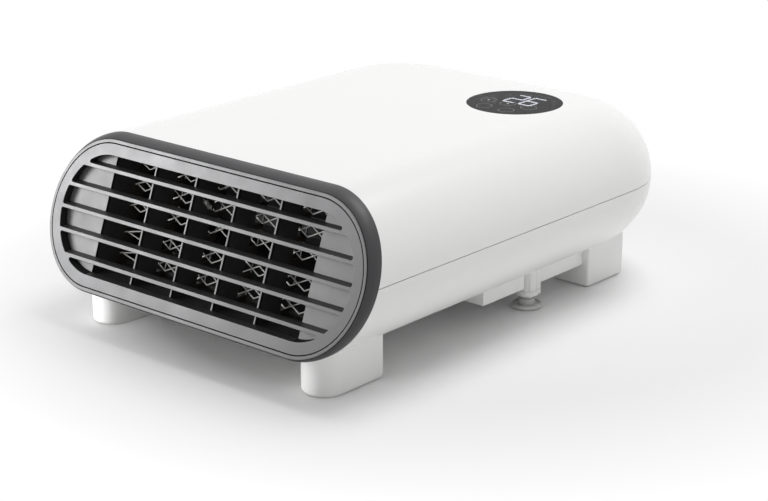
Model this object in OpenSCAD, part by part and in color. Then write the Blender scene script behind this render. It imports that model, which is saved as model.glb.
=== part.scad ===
// Wall-mounted fan heater, lying on its feet. X runs to the right seen from the outlet, Y to the back, Z up.
// Each module draws its piece with the middle of the outlet face at y = 0, and placed() centres the heater on Y.

/* [Case] */
// Width across the round sides
body_w = 254; // [248:2:280]
// Thickness from the top to the underside
body_h = 90; // [90:1:96]
// Length from the middle of the outlet face to the back
body_len = 312; // [310:2:350]
// Wall thickness of the two shells
wall = 2.4; // [2:0.2:2.8]
// Radius of the two back corners seen from above
corner_r = 68; // [62:1:74]
// Lean of the outlet face, top towards the back, in degrees
face_lean = 20.5; // [18:0.5:22]
// Width of the parting line between the shells
seam_gap = 0.5; // [0.2:0.1:0.6]
// Thickness of the lip that keys the shells together
lip_t = 1.2; // [1:0.1:1.5]
// Height that the lip stands into the upper shell
lip_h = 3; // [2:0.5:4]

/* [Outlet face] */
// Depth of the dark bezel along the case
bezel_d = 9; // [8:0.5:10]
// Radial width of the bezel at its front edge, behind the rounding
bezel_t = 2.4; // [2:0.1:3]
// Rounding of the bezel's outer edge, measured in from the side
bezel_round = 2; // [1:0.1:2]
// Length of the spigot that the shells slip over
spigot_l = 6; // [4:0.5:8]
// Width of the light trim ring
trim_t = 1.9; // [1.5:0.1:2.5]
// Width of the ledge that carries the grille and the outlet frame
ledge_w = 2; // [1.5:0.1:2.5]
// Width of the dark groove round the grille
groove_w = 0.5; // [0.3:0.1:0.8]
// Thickness of the grille's rim
grille_t = 4; // [3:0.5:4.5]
// Width of the grille's rim outside the slots
rim_w = 6.5; // [5:0.5:8]
// Number of slats
slat_n = 5; // [3:2:5]
// Thickness of a slat
slat_t = 2.1; // [1.8:0.1:3]
// Depth of the slats, down to the mask plate
slat_depth = 5.6; // [5.4:0.1:6]
// How far the slats lie below the even spacing
slat_drop = 0.2; // [0:0.1:0.4]
// Distance between slats
slat_pitch = 12.9; // [12:0.1:13.2]
// Thickness of the mask plate behind the grille
mask_t = 2; // [1.5:0.5:3]

/* [Air duct] */
// Width of the outlet opening
duct_w = 167; // [150:1:170]
// Height of the mask plate above and below the outlet opening
mask_edge = 4.9; // [4.4:0.1:6.9]
// Wall of the duct
duct_wall = 1.6; // [1.2:0.2:2]
// Number of air cells across the outlet
cell_n = 5; // [3:1:6]
// Thickness of an upright fin
fin_t = 1.2; // [1:0.1:2]
// Depth of the duct behind the mask plate
duct_l = 16.5; // [14:0.5:18]

/* [Heating element] */
// Number of wire rows
row_n = 5; // [3:1:5]
// Distance of the upper wire row from the duct's top
row_top = 11; // [10:0.1:12]
// Distance of the lower wire row from the duct's floor
row_bottom = 7.5; // [7:0.1:10]
// Extra distance between the upper and the lower group of rows
group_gap = 3.1; // [0:0.1:4]
// Half height of the zigzag
wave_amp = 3.2; // [2:0.1:3.4]
// Distance between neighbouring crests of a zigzag
crest_step = 12.1; // [9:0.1:13]
// Distance of the first crest from the duct's side in the upper group
crest_x0 = 7.6; // [5:0.1:8]
// The same in the lower group
crest_x1 = 14.1; // [10:0.1:15]
// Diameter of the heating wire
wire_d = 0.8; // [0.6:0.1:1]
// Distance between the front and the rear wires
layer_gap = 1.4; // [1.4:0.1:3]
// Thickness of a mica board
mica_t = 1; // [0.8:0.1:1.2]
// Depth of the mica frame
mica_l = 9; // [8:0.5:12]
// Clearance round a wire where it passes through mica
wire_clear = 0.15; // [0.1:0.05:0.15]
// Radius of the bimetal cut-out
cutout_r = 4.2; // [3:0.1:4.3]
// Radius of the thermal fuse
fuse_r = 1.5; // [1:0.1:2]

/* [Blower] */
// Distance of the blower's axis from the outlet face
blower_y = 98; // [96:1:104]
// Radius of the blower wheel
wheel_r = 28; // [26:0.5:29]
// Length of the blower wheel
wheel_l = 148; // [140:1:150]
// Depth of the blade ring
blade_depth = 5.5; // [4:0.5:7]
// Number of blades
blade_n = 24; // [16:1:28]
// Thickness of a blade
blade_t = 0.9; // [0.7:0.1:1.2]
// Thickness of the wheel's end discs and rings
disc_t = 1.4; // [1:0.1:2]
// Radius of the blower shaft
shaft_r = 3; // [2.5:0.1:3.5]
// Running clearance of the shaft in its bushes
run_clear = 0.05; // [0.03:0.01:0.08]
// Gap between the wheel and the curved housing
scroll_gap = 5; // [4:0.5:6]
// Wall of the blower housing
housing_t = 1.6; // [1.4:0.2:2]
// Gap between the wheel's ends and the housing's end plates
end_gap = 1.2; // [1:0.1:2]

/* [Motor] */
// Length of the laminated core
core_l = 16; // [12:1:20]
// Half height of the laminated core
core_h = 24; // [22:1:26]
// Radius of the rotor
rotor_r = 13.5; // [12:0.5:14]
// Air gap between rotor and core
air_gap = 0.5; // [0.4:0.1:0.6]
// Width of the core bar that carries the coil
coil_bar = 9; // [7:1:10]
// Thickness of the coil winding
coil_t = 7; // [5:0.5:8]

/* [Display] */
// Distance of the display from the middle of the case
display_x = 46.5; // [40:0.5:52]
// Distance of the display from the outlet face
display_y = 230; // [215:1:235]
// Radius of the display glass
glass_r = 30; // [26:0.5:31]
// Thickness of the display glass
glass_t = 1.6; // [1:0.2:2]
// Width of the ledge under the glass
glass_ledge = 2.5; // [2:0.5:3.5]
// Height of a display digit
digit_h = 19; // [16:0.5:20]
// Width of a display digit
digit_w = 9.6; // [8:0.2:10]
// Width of a lit segment
segment_w = 1; // [0.8:0.1:2]

/* [Feet] */
// Height of the feet under the case
foot_h = 22; // [21:1:28]
// Distance between the outer sides of the feet
foot_span = 202.6; // [196:0.2:206]
// How much further in the left feet stand
left_foot_in = 5.8; // [0:0.2:7]
// Width of a front foot
front_foot_w = 26.2; // [22:0.2:28]
// Length of a front foot
front_foot_l = 47; // [40:1:50]
// Distance of a front foot's round nose in front of the outlet face's middle
front_foot_nose = 4.4; // [2:0.2:6]
// Width of a rear foot
rear_foot_w = 27.8; // [24:0.2:30]
// Length of a rear foot
rear_foot_l = 38; // [32:1:40]
// Distance of the rear feet from the outlet face
rear_foot_y = 237; // [236:1:240]
// Rounding of the feet's lower edges
foot_round = 1.8; // [1:0.1:2.5]
// Thickness of the rubber pads
pad_t = 1.4; // [1.2:0.1:2]
// Height that the pads stand out of the feet
pad_proud = 0.4; // [0.2:0.1:0.6]

/* [Wall plate] */
// Width of the wall plate
plate_w = 193.4; // [186:0.2:194]
// Distance of the plate's front edge from the outlet face
plate_y = 137; // [134:1:142]
// Height of the plate above the floor
plate_z = 15; // [14:0.5:16]
// Thickness of the plate's floor
plate_t = 2.4; // [2:0.2:3]
// Width of the plate's side rims
plate_rim = 9; // [7:0.5:10]
// Distance between the two keyholes
keyhole_span = 120; // [100:1:130]
// Radius of a keyhole's entry
keyhole_r = 4.6; // [4:0.1:5]
// Radius of a keyhole's narrow end
keyhole_neck_r = 2.25; // [2:0.05:2.5]

/* [Tip-over switch] */
// Distance of the plunger from the middle of the case
plunger_x = 91.5; // [90:0.5:92]
// Distance of the plunger from the outlet face
plunger_y = 186.5; // [184:0.5:190]
// Radius of the plunger's foot
plunger_foot_r = 9.8; // [8:0.1:11]
// Thickness of the plunger's foot
plunger_foot_t = 2.4; // [2:0.1:2.6]
// Height of the plunger's foot above the floor
plunger_rest = 0.2; // [0:0.1:0.4]
// Radius of the plunger's stem
stem_r = 4; // [3.8:0.1:4.2]
// Radius of the plunger's thin upper stem
stem_top_r = 2.2; // [2:0.1:2.3]
// Outer radius of the guide
guide_r = 7.2; // [7:0.1:7.4]
// Travel of the plunger
plunger_travel = 4; // [3:0.5:4.5]
// Sliding clearance of the plunger in its guide
slide_clear = 0.08; // [0.05:0.01:0.1]
// Turns of the plunger's spring
spring_turns = 6; // [4:1:8]
// Wire diameter of the plunger's spring
spring_d = 0.6; // [0.4:0.1:0.8]

/* [Electronics] */
// Width of the power board
board_w = 78; // [70:1:80]
// Length of the power board
board_l = 72; // [66:1:74]
// Thickness of the circuit boards
board_t = 1.6; // [1:0.2:2]
// Height of the power board above the inside of the lower shell
board_lift = 9; // [6:0.5:12]
// Bore of the cable gland
gland_r = 3.4; // [3:0.1:4]

/* [Back intake] */
// Number of slot columns in the back
intake_n = 15; // [8:1:15]
// Distance between the slot columns
intake_pitch = 6; // [5.5:0.1:6.2]
// Width of an intake slot
intake_w = 3; // [2:0.2:3.4]

/* [Screws] */
// Radius of a case screw's shank
screw_r = 1.6; // [1.4:0.1:1.8]
// Radius of a case screw's head
screw_head_r = 3.2; // [2.8:0.1:3.4]
// Clearance round a screw
screw_clear = 0.15; // [0.1:0.05:0.2]

/* [Hidden] */
$fn = 64;

big = 400;
fit = 0.2;
touch = 0.1;
case_r = body_h / 2;
inner_r = case_r - wall;
side_a = body_w / 2 - case_r;
axis_z = foot_h + case_r;
corner_x = body_w / 2 - corner_r;
corner_major = corner_r - case_r;
corner_y = body_len - corner_r;
trim_r = case_r - bezel_t - touch;
groove_r = trim_r - trim_t;
grille_r = groove_r - groove_w;
slot_r = grille_r - rim_w;
ledge_r = groove_r - ledge_w;
spigot_r = inner_r - fit;
spigot_bore = trim_r - bezel_t;
mask_r = spigot_bore - fit;
mask_d = slat_depth;
duct_d = mask_d + mask_t;
mica_d = duct_d + duct_l;
wire_d0 = mica_d + 2;
mid_y = (body_len - trim_r * tan(face_lean)) / 2;
duct_h = 2 * (mask_r - mask_edge);
cell_w = duct_w / cell_n;
white = [0.94, 0.94, 0.93];
dark = [0.16, 0.16, 0.17];

// Placing and outline helpers

module placed() translate([0, -mid_y, 0]) children();

module both_sides() {
  children();
  mirror([1, 0, 0]) children();
}

// Flat bar outline with round sides, drawn in X and height
module oblong(rad) {
  square([2 * side_a, 2 * rad], center = true);
  for (side = [-1, 1]) translate([side * side_a, 0]) circle(rad);
}

// Draws an outline of X and height along Y
module along_y(y0, y1) translate([0, y1, axis_z]) rotate([90, 0, 0]) linear_extrude(y1 - y0) children();

// Draws an outline of Y and height along X
module along_x(x0, x1) translate([x0, 0, axis_z]) rotate([90, 0, 90]) linear_extrude(x1 - x0) children();

// Keeps what lies between two planes that lean like the outlet face
module leaning(d0, d1) {
  intersection() {
    children();
    translate([0, 0, axis_z]) rotate([-face_lean, 0, 0])
      translate([-big, d0 * cos(face_lean), -big]) cube([2 * big, (d1 - d0) * cos(face_lean), 2 * big]);
  }
}

// A leaning plate of an outline, from depth d0 to depth d1 behind the outlet face
module face_plate(d0, d1) leaning(d0, d1) along_y(d0 - body_h, d1 + body_h) children();

// Keeps what lies between two heights, measured from the case's axis
module between(z0, z1) {
  intersection() {
    children();
    translate([-big, -big, axis_z + z0]) cube([2 * big, 2 * big, z1 - z0]);
  }
}

// Case form

module back_profile(rad) {
  translate([0, -rad]) square([corner_major, 2 * rad]);
  intersection() {
    translate([corner_major, 0]) circle(rad);
    translate([corner_major, -rad]) square([rad, 2 * rad]);
  }
}

module case_form(inset) {
  rad = case_r - inset;
  along_y(-body_h, corner_y) oblong(rad);
  translate([0, corner_y, 0]) along_x(-corner_x, corner_x) back_profile(rad);
  both_sides() translate([corner_x, corner_y, axis_z]) rotate_extrude(angle = 90) back_profile(rad);
}

module case_skin() leaning(bezel_d, big) difference() {
  case_form(0);
  case_form(wall);
}

// Slots in the back that let the air in, above and below the parting line
intake_x = 8;
intake_z0 = 8;
intake_z1 = 31;

module intake_slots() {
  along_y(body_len - case_r, body_len + 10)
    for (i = [0:intake_n - 1], s = [-1, 1]) translate([intake_x + (i - (intake_n - 1) / 2) * intake_pitch, 0]) {
      translate([-intake_w / 2, s > 0 ? intake_z0 : -intake_z1]) square([intake_w, intake_z1 - intake_z0]);
      for (z = [intake_z0, intake_z1]) translate([0, s * z]) circle(intake_w / 2);
    }
}

// Case screws

back_screw_y = body_len - 40;
case_screw_at = [[107.5, 75], [-107.5, 75], [0, 150], [52, back_screw_y], [-52, back_screw_y]];
boss_r = screw_head_r + screw_clear + 1.8;
screw_seat = -12;
screw_l = 22;
head_t = 2.2;

module at_case_screws() for (p = case_screw_at) translate([p[0], p[1], axis_z]) children();

module upper_shell() placed() color(white) {
  difference() {
    union() {
      between(seam_gap / 2, case_r + 1) case_skin();
      difference() {
        intersection() {
          union() {
            at_case_screws() translate([0, 0, seam_gap / 2]) cylinder(r = boss_r - 1, h = case_r);
            at_display_posts() translate([0, 0, board_top]) cylinder(r = 2.6, h = case_r - board_top);
          }
          case_form(wall / 2);
        }
        at_case_screws() translate([0, 0, -1]) cylinder(r = screw_r, h = screw_l + screw_seat + 3);
        at_display_posts() translate([0, 0, board_top - 1]) cylinder(r = small_screw_r, h = 5);
      }
    }
    translate([display_x, display_y, axis_z + case_r - glass_t]) cylinder(r = glass_r + fit / 2, h = 10);
    translate([display_x, display_y, axis_z]) cylinder(r = glass_r - glass_ledge, h = case_r + 1);
    intake_slots();
  }
}

// Lip of the lower shell that stands inside the upper shell

module lip() {
  leaning(bezel_d + spigot_l + 1, big) {
    between(-5, lip_h) difference() {
      case_form(wall + fit);
      case_form(wall + fit + lip_t);
    }
    between(-5, -seam_gap / 2 - 0.3) difference() {
      case_form(wall / 2);
      case_form(wall + fit + lip_t);
    }
  }
}

floor_z = -inner_r;
board_z = floor_z + board_lift;
board_x = -56;
board_y = 198;
post_r = 3.2;

module at_board_posts() {
  for (i = [-1, 1], j = [-1, 1])
    translate([board_x + i * (board_w / 2 - 5), board_y + j * (board_l / 2 - 5), axis_z]) children();
}

// Guide of the tip-over plunger: a collar, a round boss and a flat post in line with the wall plate

guide_z0 = 8.4;
guide_top = 32;
guide_web = 2;
bore_top = guide_top - guide_web;
post_y0 = plunger_y - 3.7;
post_y1 = plunger_y + 7;

module plunger_guide() {
  translate([plunger_x, plunger_y, guide_z0]) {
    cylinder(r = guide_r, h = 2.8);
    cylinder(r = guide_r - 1.2, h = guide_top - guide_z0);
  }
  translate([plunger_x, post_y0, guide_z0 - 0.8]) cube([plate_w / 2 - plunger_x, post_y1 - post_y0, foot_h + 3 - guide_z0]);
}

// Rib with two pins that carries the micro switch

switch_w = 6.4;
switch_z0 = 41;
switch_h = 10;
switch_l = 20;
switch_y0 = plunger_y - 3.5;
pin_r = 1.1;
rib_x = plunger_x - switch_w / 2 - 2;

module switch_pins(r, h) {
  for (y = [switch_y0 + 5, switch_y0 + switch_l - 5])
    translate([rib_x + 1, y, switch_z0 + switch_h - 3]) rotate([0, 90, 0]) cylinder(r = r, h = h);
}

module switch_rib() {
  intersection() {
    translate([rib_x, switch_y0 + 9, foot_h]) cube([2, switch_l - 9, switch_z0 + switch_h - foot_h]);
    case_form(wall / 2);
  }
  translate([rib_x, switch_y0, switch_z0]) cube([2, switch_l, switch_h]);
  switch_pins(pin_r, switch_w + 1);
}

module plate_screw_posts(r, z0, z1) at_plate_screws() translate([0, 0, z0]) cylinder(r = r, h = z1 - z0);

module lower_shell() placed() color(white) {
  difference() {
    union() {
      between(-case_r - 1, -seam_gap / 2) case_skin();
      lip();
      intersection() {
        union() {
          at_case_screws() translate([0, 0, -case_r]) cylinder(r = boss_r, h = case_r - seam_gap / 2);
          at_board_posts() translate([0, 0, -case_r]) cylinder(r = post_r, h = case_r + board_z);
          at_housing_posts() translate([0, 0, -case_r]) cylinder(r = 4, h = case_r - scroll_r - housing_t);
          at_gland() translate([0, 0, gland_seat - 2.4]) cylinder(r = gland_flange_r + 2, h = 20);
          at_plate_screws() translate([0, 0, foot_h]) cylinder(r = post_r, h = 10);
        }
        case_form(wall / 2);
      }
      at_plate_screws() translate([0, 0, plate_z + plate_t]) cylinder(r = post_r, h = foot_h + 1 - plate_z - plate_t);
      plunger_guide();
      switch_rib();
    }
    at_case_screws() {
      translate([0, 0, -case_r - 1]) cylinder(r = screw_head_r + screw_clear, h = case_r + 1 + screw_seat);
      cylinder(r = screw_r + screw_clear, h = big, center = true);
    }
    at_board_posts() translate([0, 0, board_z - 6]) cylinder(r = small_screw_r, h = 10);
    at_housing_posts() translate([0, 0, -scroll_r - housing_t - 6.5]) cylinder(r = small_screw_r, h = 10);
    at_plate_screws() translate([0, 0, plate_z]) cylinder(r = small_screw_r, h = 14);
    at_plunger() {
      translate([0, 0, guide_z0 - 1]) cylinder(r = stem_r + slide_clear, h = bore_top - guide_z0 + 1);
      cylinder(r = stem_top_r + slide_clear, h = axis_z);
    }
    at_gland() translate([0, 0, -20]) cylinder(r = gland_neck_r + touch, h = 40);
    at_gland() translate([0, 0, gland_seat]) cylinder(r = gland_flange_r + fit, h = 20);
    intake_slots();
  }
}

// Outlet face, from the bezel inwards

bezel_steps = [[0.6, 1], [2, 0.42], [4.4, 0.1], [7, 0]];

module bezel_ring() placed() color(dark) {
  difference() {
    union() {
      hull() {
        for (s = bezel_steps) face_plate(s[0], s[0] + 0.2, $fn = 96) oblong(case_r - bezel_round * s[1]);
        face_plate(bezel_d - 0.2, bezel_d - touch, $fn = 96) oblong(case_r);
      }
      face_plate(bezel_d - 1, bezel_d + spigot_l) oblong(spigot_r);
    }
    face_plate(-10, mask_d) oblong(trim_r + touch);
    face_plate(mask_d - 1, bezel_d + spigot_l + 1) oblong(spigot_bore);
  }
}

module trim_ring() placed() color([0.72, 0.72, 0.73]) {
  difference() {
    face_plate(0, mask_d) oblong(trim_r);
    face_plate(-1, grille_t) oblong(groove_r);
    face_plate(grille_t - 1, mask_d + 1) oblong(ledge_r);
  }
}

module slot_outline() {
  difference() {
    oblong(slot_r);
    for (i = [0:slat_n - 1]) translate([-big, (i - (slat_n - 1) / 2) * slat_pitch - slat_drop - slat_t / 2])
      square([2 * big, slat_t]);
  }
}

// The rim rests on the trim ring's ledge, and the slats reach back to the mask plate
module outlet_grille() placed() color([0.62, 0.62, 0.63]) difference() {
  union() {
    face_plate(0, grille_t) oblong(grille_r);
    face_plate(1, slat_depth) oblong(ledge_r - fit);
  }
  face_plate(-1, slat_depth + 1) slot_outline();
}

module fin_bars(width) {
  for (i = [1:cell_n - 1]) translate([-duct_w / 2 + i * cell_w - width / 2, -duct_h / 2]) square([width, duct_h]);
}

module outlet_frame() placed() color([0.7, 0.7, 0.7]) {
  face_plate(mask_d, duct_d) {
    difference() {
      oblong(mask_r);
      square([duct_w, duct_h], center = true);
    }
    fin_bars(fin_t);
  }
}

module outlet_duct() placed() color([0.14, 0.14, 0.14]) {
  face_plate(duct_d, duct_d + duct_l) {
    difference() {
      square([duct_w + 2 * duct_wall, duct_h + 2 * duct_wall], center = true);
      square([duct_w, duct_h], center = true);
    }
    fin_bars(fin_t);
  }
}

// Heating element

// The rows hang in an upper and a lower group
upper_rows = 3;
row_pitch = (duct_h - row_top - row_bottom - group_gap) / (row_n - 1);

function row_z(i) = duct_h / 2 - row_top - i * row_pitch - (i < upper_rows ? 0 : group_gap);

mica_w = duct_w + 2 * mica_t;
mica_h = duct_h + 2 * mica_t;
wire_x = duct_w / 2 + mica_t / 2;

module mica_frame() placed() color([0.78, 0.7, 0.52]) {
  difference() {
    face_plate(mica_d, mica_d + mica_l) {
      difference() {
        square([mica_w, mica_h], center = true);
        square([duct_w, duct_h], center = true);
      }
      fin_bars(mica_t);
    }
    face_plate(mica_d + 0.8, mica_d + mica_l - 0.8) for (k = [0:row_n - 1])
      translate([-duct_w / 2 + 5, row_z(k) - wave_amp - 1]) square([duct_w - 10, 2 * wave_amp + 2]);
    for (k = [0:row_n - 1], layer = [0, 1])
      translate([0, wire_d0 + layer * layer_gap + row_z(k) * tan(face_lean), axis_z + row_z(k)])
        rotate([0, 90, 0]) cylinder(r = wire_d / 2 + wire_clear, h = 2 * mica_w, center = true);
  }
}

// One unbroken wire: each row zigzags across the duct, and the rows join outside the mica boards.
// Crest k lies crest_step * k behind the row's first crest, and its corner is cut at crest_cut to either side.
crest_cut = 0.12;
crest_margin = 3;
wire_turn = wire_x + 3;

function crest_start(row) = row < upper_rows ? crest_x0 : crest_x1;

function crest_last(row) = floor((duct_w - crest_start(row) - crest_margin) / crest_step);

function crest(row, k, sign) = let (
    x = -duct_w / 2 + crest_start(row) + crest_step * k,
    up = (k % 2 == 0 ? 1 : -1) * sign * wave_amp
  ) [for (c = [-1, 1]) [x + c * crest_cut * crest_step, row_z(row) + up * (1 - 2 * crest_cut)]];

function row_path(row, sign) = let (
    z = row_z(row),
    run = concat(
      [[-wire_turn, z], [-wire_x - 0.8, z], [-wire_x + 0.8, z]],
      [for (k = [0:crest_last(row)], p = crest(row, k, sign)) p],
      [[wire_x - 0.8, z], [wire_x + 0.8, z], [wire_turn, z]])
  ) row % 2 == 0 ? run : [for (i = [len(run) - 1:-1:0]) run[i]];

function wire_path(sign) = [for (row = [0:row_n - 1], p = row_path(row, sign)) p];

function unit(v) = v / norm(v);

wire_sides = 6;

// Rings of the tube, mitred at each corner of a path that lies in one leaning plane
function ring(path, i, y0) = let (
    a = i == 0 ? path[1] - path[0] : path[i] - path[i - 1],
    b = i == len(path) - 1 ? a : path[i + 1] - path[i],
    t = unit(unit(a) + unit(b)),
    m = 1 / max(0.5, t * unit(a)),
    n = [-t[1], t[0]] * m
  ) [for (s = [0:wire_sides - 1]) let (f = 360 * s / wire_sides) [
      path[i][0] + wire_d / 2 * cos(f) * n[0],
      y0 + path[i][1] * tan(face_lean) + wire_d / 2 * sin(f),
      axis_z + path[i][1] + wire_d / 2 * cos(f) * n[1]
    ]];

module wire_tube(path, y0) {
  last = len(path) - 1;
  points = [for (i = [0:last], p = ring(path, i, y0)) p];
  side_faces = [for (i = [0:last - 1], s = [0:wire_sides - 1]) let (
      a = i * wire_sides + s,
      b = i * wire_sides + (s + 1) % wire_sides,
      c = b + wire_sides,
      d = a + wire_sides
    ) each [[a, b, c], [a, c, d]]];
  cap_faces = [for (s = [1:wire_sides - 2]) each [
      [0, s + 1, s],
      [last * wire_sides, last * wire_sides + s, last * wire_sides + s + 1]
    ]];
  polyhedron(points, concat(side_faces, cap_faces));
}

// Least gap between parts of one wire that don't follow each other
function least_gap(path) = min([for (i = [0:len(path) - 5], j = [i + 4:len(path) - 1])
  if (abs(path[i][1] - path[j][1]) > wave_amp || abs(i - j) > 8) norm(path[i] - path[j]) - wire_d]);
echo(least_wire_gap = least_gap(wire_path(1)));

module front_heating_wire() placed() color([0.75, 0.72, 0.68]) wire_tube(wire_path(1), wire_d0);

module rear_heating_wire() placed() color([0.75, 0.72, 0.68]) wire_tube(wire_path(-1), wire_d0 + layer_gap);

// Brass tabs that carry the ends of the wires outside the end boards
tab_t = 0.6;
tab_w = 5;

module terminal_tab(row, side) {
  z = row_z(row);
  reach = wire_turn - mica_w / 2;
  translate([side > 0 ? 0 : tab_t, wire_d0 + layer_gap / 2 + z * tan(face_lean), axis_z + z - tab_w / 2])
    translate([side * wire_turn - (side > 0 ? 0 : 2 * tab_t), 0, 0]) {
      translate([0, -layer_gap / 2 - 2, 0]) cube([tab_t, layer_gap + 4, tab_w]);
      translate([side > 0 ? -reach : tab_t, layer_gap / 2 + 1.2, 0]) cube([reach, 0.8, tab_w]);
      translate([side > 0 ? tab_t : -7, layer_gap / 2 + 1.2, 0.5]) cube([7, 0.8, tab_w - 1]);
    }
}

module element_terminals() placed() color([0.8, 0.66, 0.35]) {
  terminal_tab(0, -1);
  terminal_tab(row_n - 1, row_n % 2 == 0 ? -1 : 1);
}

cutout_x = cell_w;
cutout_l = 5;
cutout_gap = 1.3;
cutout_d = mica_d + mica_l - cutout_r - cutout_gap;

module thermal_cutout() placed() color([0.3, 0.3, 0.32])
  translate([cutout_x, cutout_d + duct_h / 2 * tan(face_lean), axis_z + duct_h / 2 - cutout_l]) {
    cylinder(r = cutout_r, h = cutout_l);
    translate([0, 0, -0.8]) cylinder(r = cutout_r - 1.4, h = 0.8);
    for (s = [-1, 1]) translate([s * (cutout_r + 1.5) - 2.5, -1.5, cutout_l - 0.8]) cube([5, 3, 0.8]);
  }

fuse_x = -cell_w / 2 + fin_t / 2 + fuse_r;
fuse_d = mica_d - 6.5;
fuse_z = row_z(1) + 2.9;
fuse_l = 5;
fuse_tilt = 52;

// The fuse lies slanting against the side of a fin, with a metal cap at either end
module thermal_fuse() placed() color([0.85, 0.83, 0.78])
  translate([fuse_x, fuse_d + fuse_z * tan(face_lean), axis_z + fuse_z]) rotate([-90 - fuse_tilt, 0, 0]) {
    cylinder(r = fuse_r, h = fuse_l, center = true);
    cylinder(r = fuse_r * 0.6, h = fuse_l + 1.6, center = true);
    cylinder(r = fuse_r * 0.25, h = fuse_l + 5, center = true);
  }

// Blower

wheel_x0 = -88;
wheel_x1 = wheel_x0 + wheel_l;
plate_x0 = wheel_x0 - end_gap - housing_t;
plate_x1 = wheel_x1 + end_gap;
scroll_r = wheel_r + scroll_gap;
core_x0 = plate_x1 + housing_t + 7.4;
core_x1 = core_x0 + core_l;

module at_blower() translate([0, blower_y, 0]) children();

// A blade is a bent strip: its angle grows with the square of the way out
blade_steps = 4;
blade_sweep = 16;

function blade_point(k, side) = let (
    u = k / blade_steps,
    rad = wheel_r - 0.2 - blade_depth * (1 - u),
    a = blade_sweep * u * u
  ) [rad * cos(a), rad * sin(a) + side * blade_t / 2];

module blade() polygon(concat(
  [for (k = [0:blade_steps]) blade_point(k, -1)],
  [for (k = [blade_steps:-1:0]) blade_point(k, 1)]));

module blower_wheel() placed() color([0.2, 0.2, 0.21]) at_blower() {
  difference() {
    union() {
      along_x(wheel_x0, wheel_x1) for (i = [0:blade_n - 1]) rotate(i * 360 / blade_n) blade();
      for (x = [wheel_x0, wheel_x1 - disc_t]) along_x(x, x + disc_t) circle(wheel_r);
      for (i = [1, 2]) translate([wheel_x0 + i * wheel_l / 3, 0, 0]) along_x(0, disc_t) difference() {
        circle(wheel_r);
        circle(wheel_r - blade_depth - 0.6);
      }
      along_x(wheel_x0, wheel_x0 + 8) circle(shaft_r + 3);
      along_x(wheel_x1 - 8, wheel_x1) circle(shaft_r + 3);
    }
    along_x(wheel_x0 - 1, wheel_x1 + 1) circle(shaft_r);
  }
}

module blower_shaft() placed() color([0.7, 0.7, 0.72]) at_blower()
  along_x(plate_x0 - 6, core_x1 + 10) circle(shaft_r);

module motor_rotor() placed() color([0.55, 0.55, 0.57]) at_blower()
  along_x(core_x0 - 1, core_x1 + 1) difference() {
    circle(rotor_r);
    circle(shaft_r);
  }

bush_r = shaft_r + 2.2;
bracket_t = 1.6;
bracket_x0 = plate_x1 + housing_t + 3.4;
bracket_x1 = core_x1 + 2.4;
bracket_z = core_h - 5;
bush_spans = [
  [plate_x0 - 2, plate_x0 + housing_t + 0.2],
  [bracket_x0 - 1.4, bracket_x0 + bracket_t + 0.4],
  [bracket_x1 - 0.4, bracket_x1 + bracket_t + 1.4]
];
motor_screw_r = 1.5;

module shaft_bushes() placed() color([0.72, 0.6, 0.38]) at_blower()
  for (x = bush_spans) along_x(x[0], x[1]) difference() {
    circle(bush_r);
    circle(shaft_r + run_clear);
  }

core_y0 = -20;
core_y1 = rotor_r + 20;
coil_z = core_h - 10;

module core_outline() {
  difference() {
    translate([core_y0, -core_h]) square([core_y1 - core_y0, 2 * core_h]);
    circle(rotor_r + air_gap);
    translate([core_y1 - coil_bar - coil_t - 0.6, -coil_z]) square([coil_t + 0.6, 2 * coil_z]);
    for (s = [-1, 1]) translate([-4, s * bracket_z]) circle(motor_screw_r);
  }
}

module motor_core() placed() color([0.5, 0.5, 0.52]) at_blower() along_x(core_x0, core_x1) core_outline();

module motor_coil() placed() color([0.72, 0.4, 0.2]) at_blower() between(-coil_z + 0.3, coil_z - 0.3)
  difference() {
    translate([core_x0 - coil_t, core_y1 - coil_bar - coil_t, 0])
      cube([core_l + 2 * coil_t, coil_bar + 2 * coil_t, 2 * axis_z]);
    translate([core_x0, core_y1 - coil_bar, -1]) cube([core_l, coil_bar, 2 * axis_z + 2]);
  }

module bracket_outline() {
  difference() {
    union() {
      circle(bush_r + 4);
      translate([-9, -core_h]) square([10, 2 * core_h]);
    }
    circle(bush_r);
    for (s = [-1, 1]) translate([-4, s * bracket_z]) circle(motor_screw_r);
  }
}

module bracket_posts(x0, x1) {
  for (s = [-1, 1]) translate([0, -4, s * bracket_z]) along_x(x0, x1) difference() {
    circle(3);
    circle(motor_screw_r);
  }
}

module motor_brackets() placed() color([0.62, 0.62, 0.64]) at_blower() {
  along_x(bracket_x0, bracket_x0 + bracket_t) bracket_outline();
  bracket_posts(bracket_x0 + bracket_t, core_x0);
  along_x(bracket_x1, bracket_x1 + bracket_t) bracket_outline();
  bracket_posts(core_x1, bracket_x1);
}

// Blower housing: a floor, a curved back and two end plates

house_d = mica_d + mica_l;
floor_y0 = -(blower_y - house_d) - (scroll_r + housing_t) * tan(face_lean);
scroll_open = 22;

module scroll_outline() {
  difference() {
    circle(scroll_r + housing_t);
    circle(scroll_r);
    translate([-big, -big]) square([big, 2 * big]);
    rotate(scroll_open) square([big, big]);
  }
  translate([floor_y0, -scroll_r - housing_t]) square([-floor_y0, housing_t]);
}

module end_plate_outline(hole) {
  difference() {
    union() {
      circle(scroll_r + housing_t);
      translate([floor_y0, -scroll_r - housing_t]) square([-floor_y0, 2 * (scroll_r + housing_t)]);
    }
    circle(hole);
  }
}

flange_t = 1.6;
housing_post_x = [-70, 44];
housing_post_y = [48, 134];
lug_l = 42;

module at_housing_posts() for (x = housing_post_x, y = housing_post_y) translate([x, y, axis_z]) children();

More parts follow.
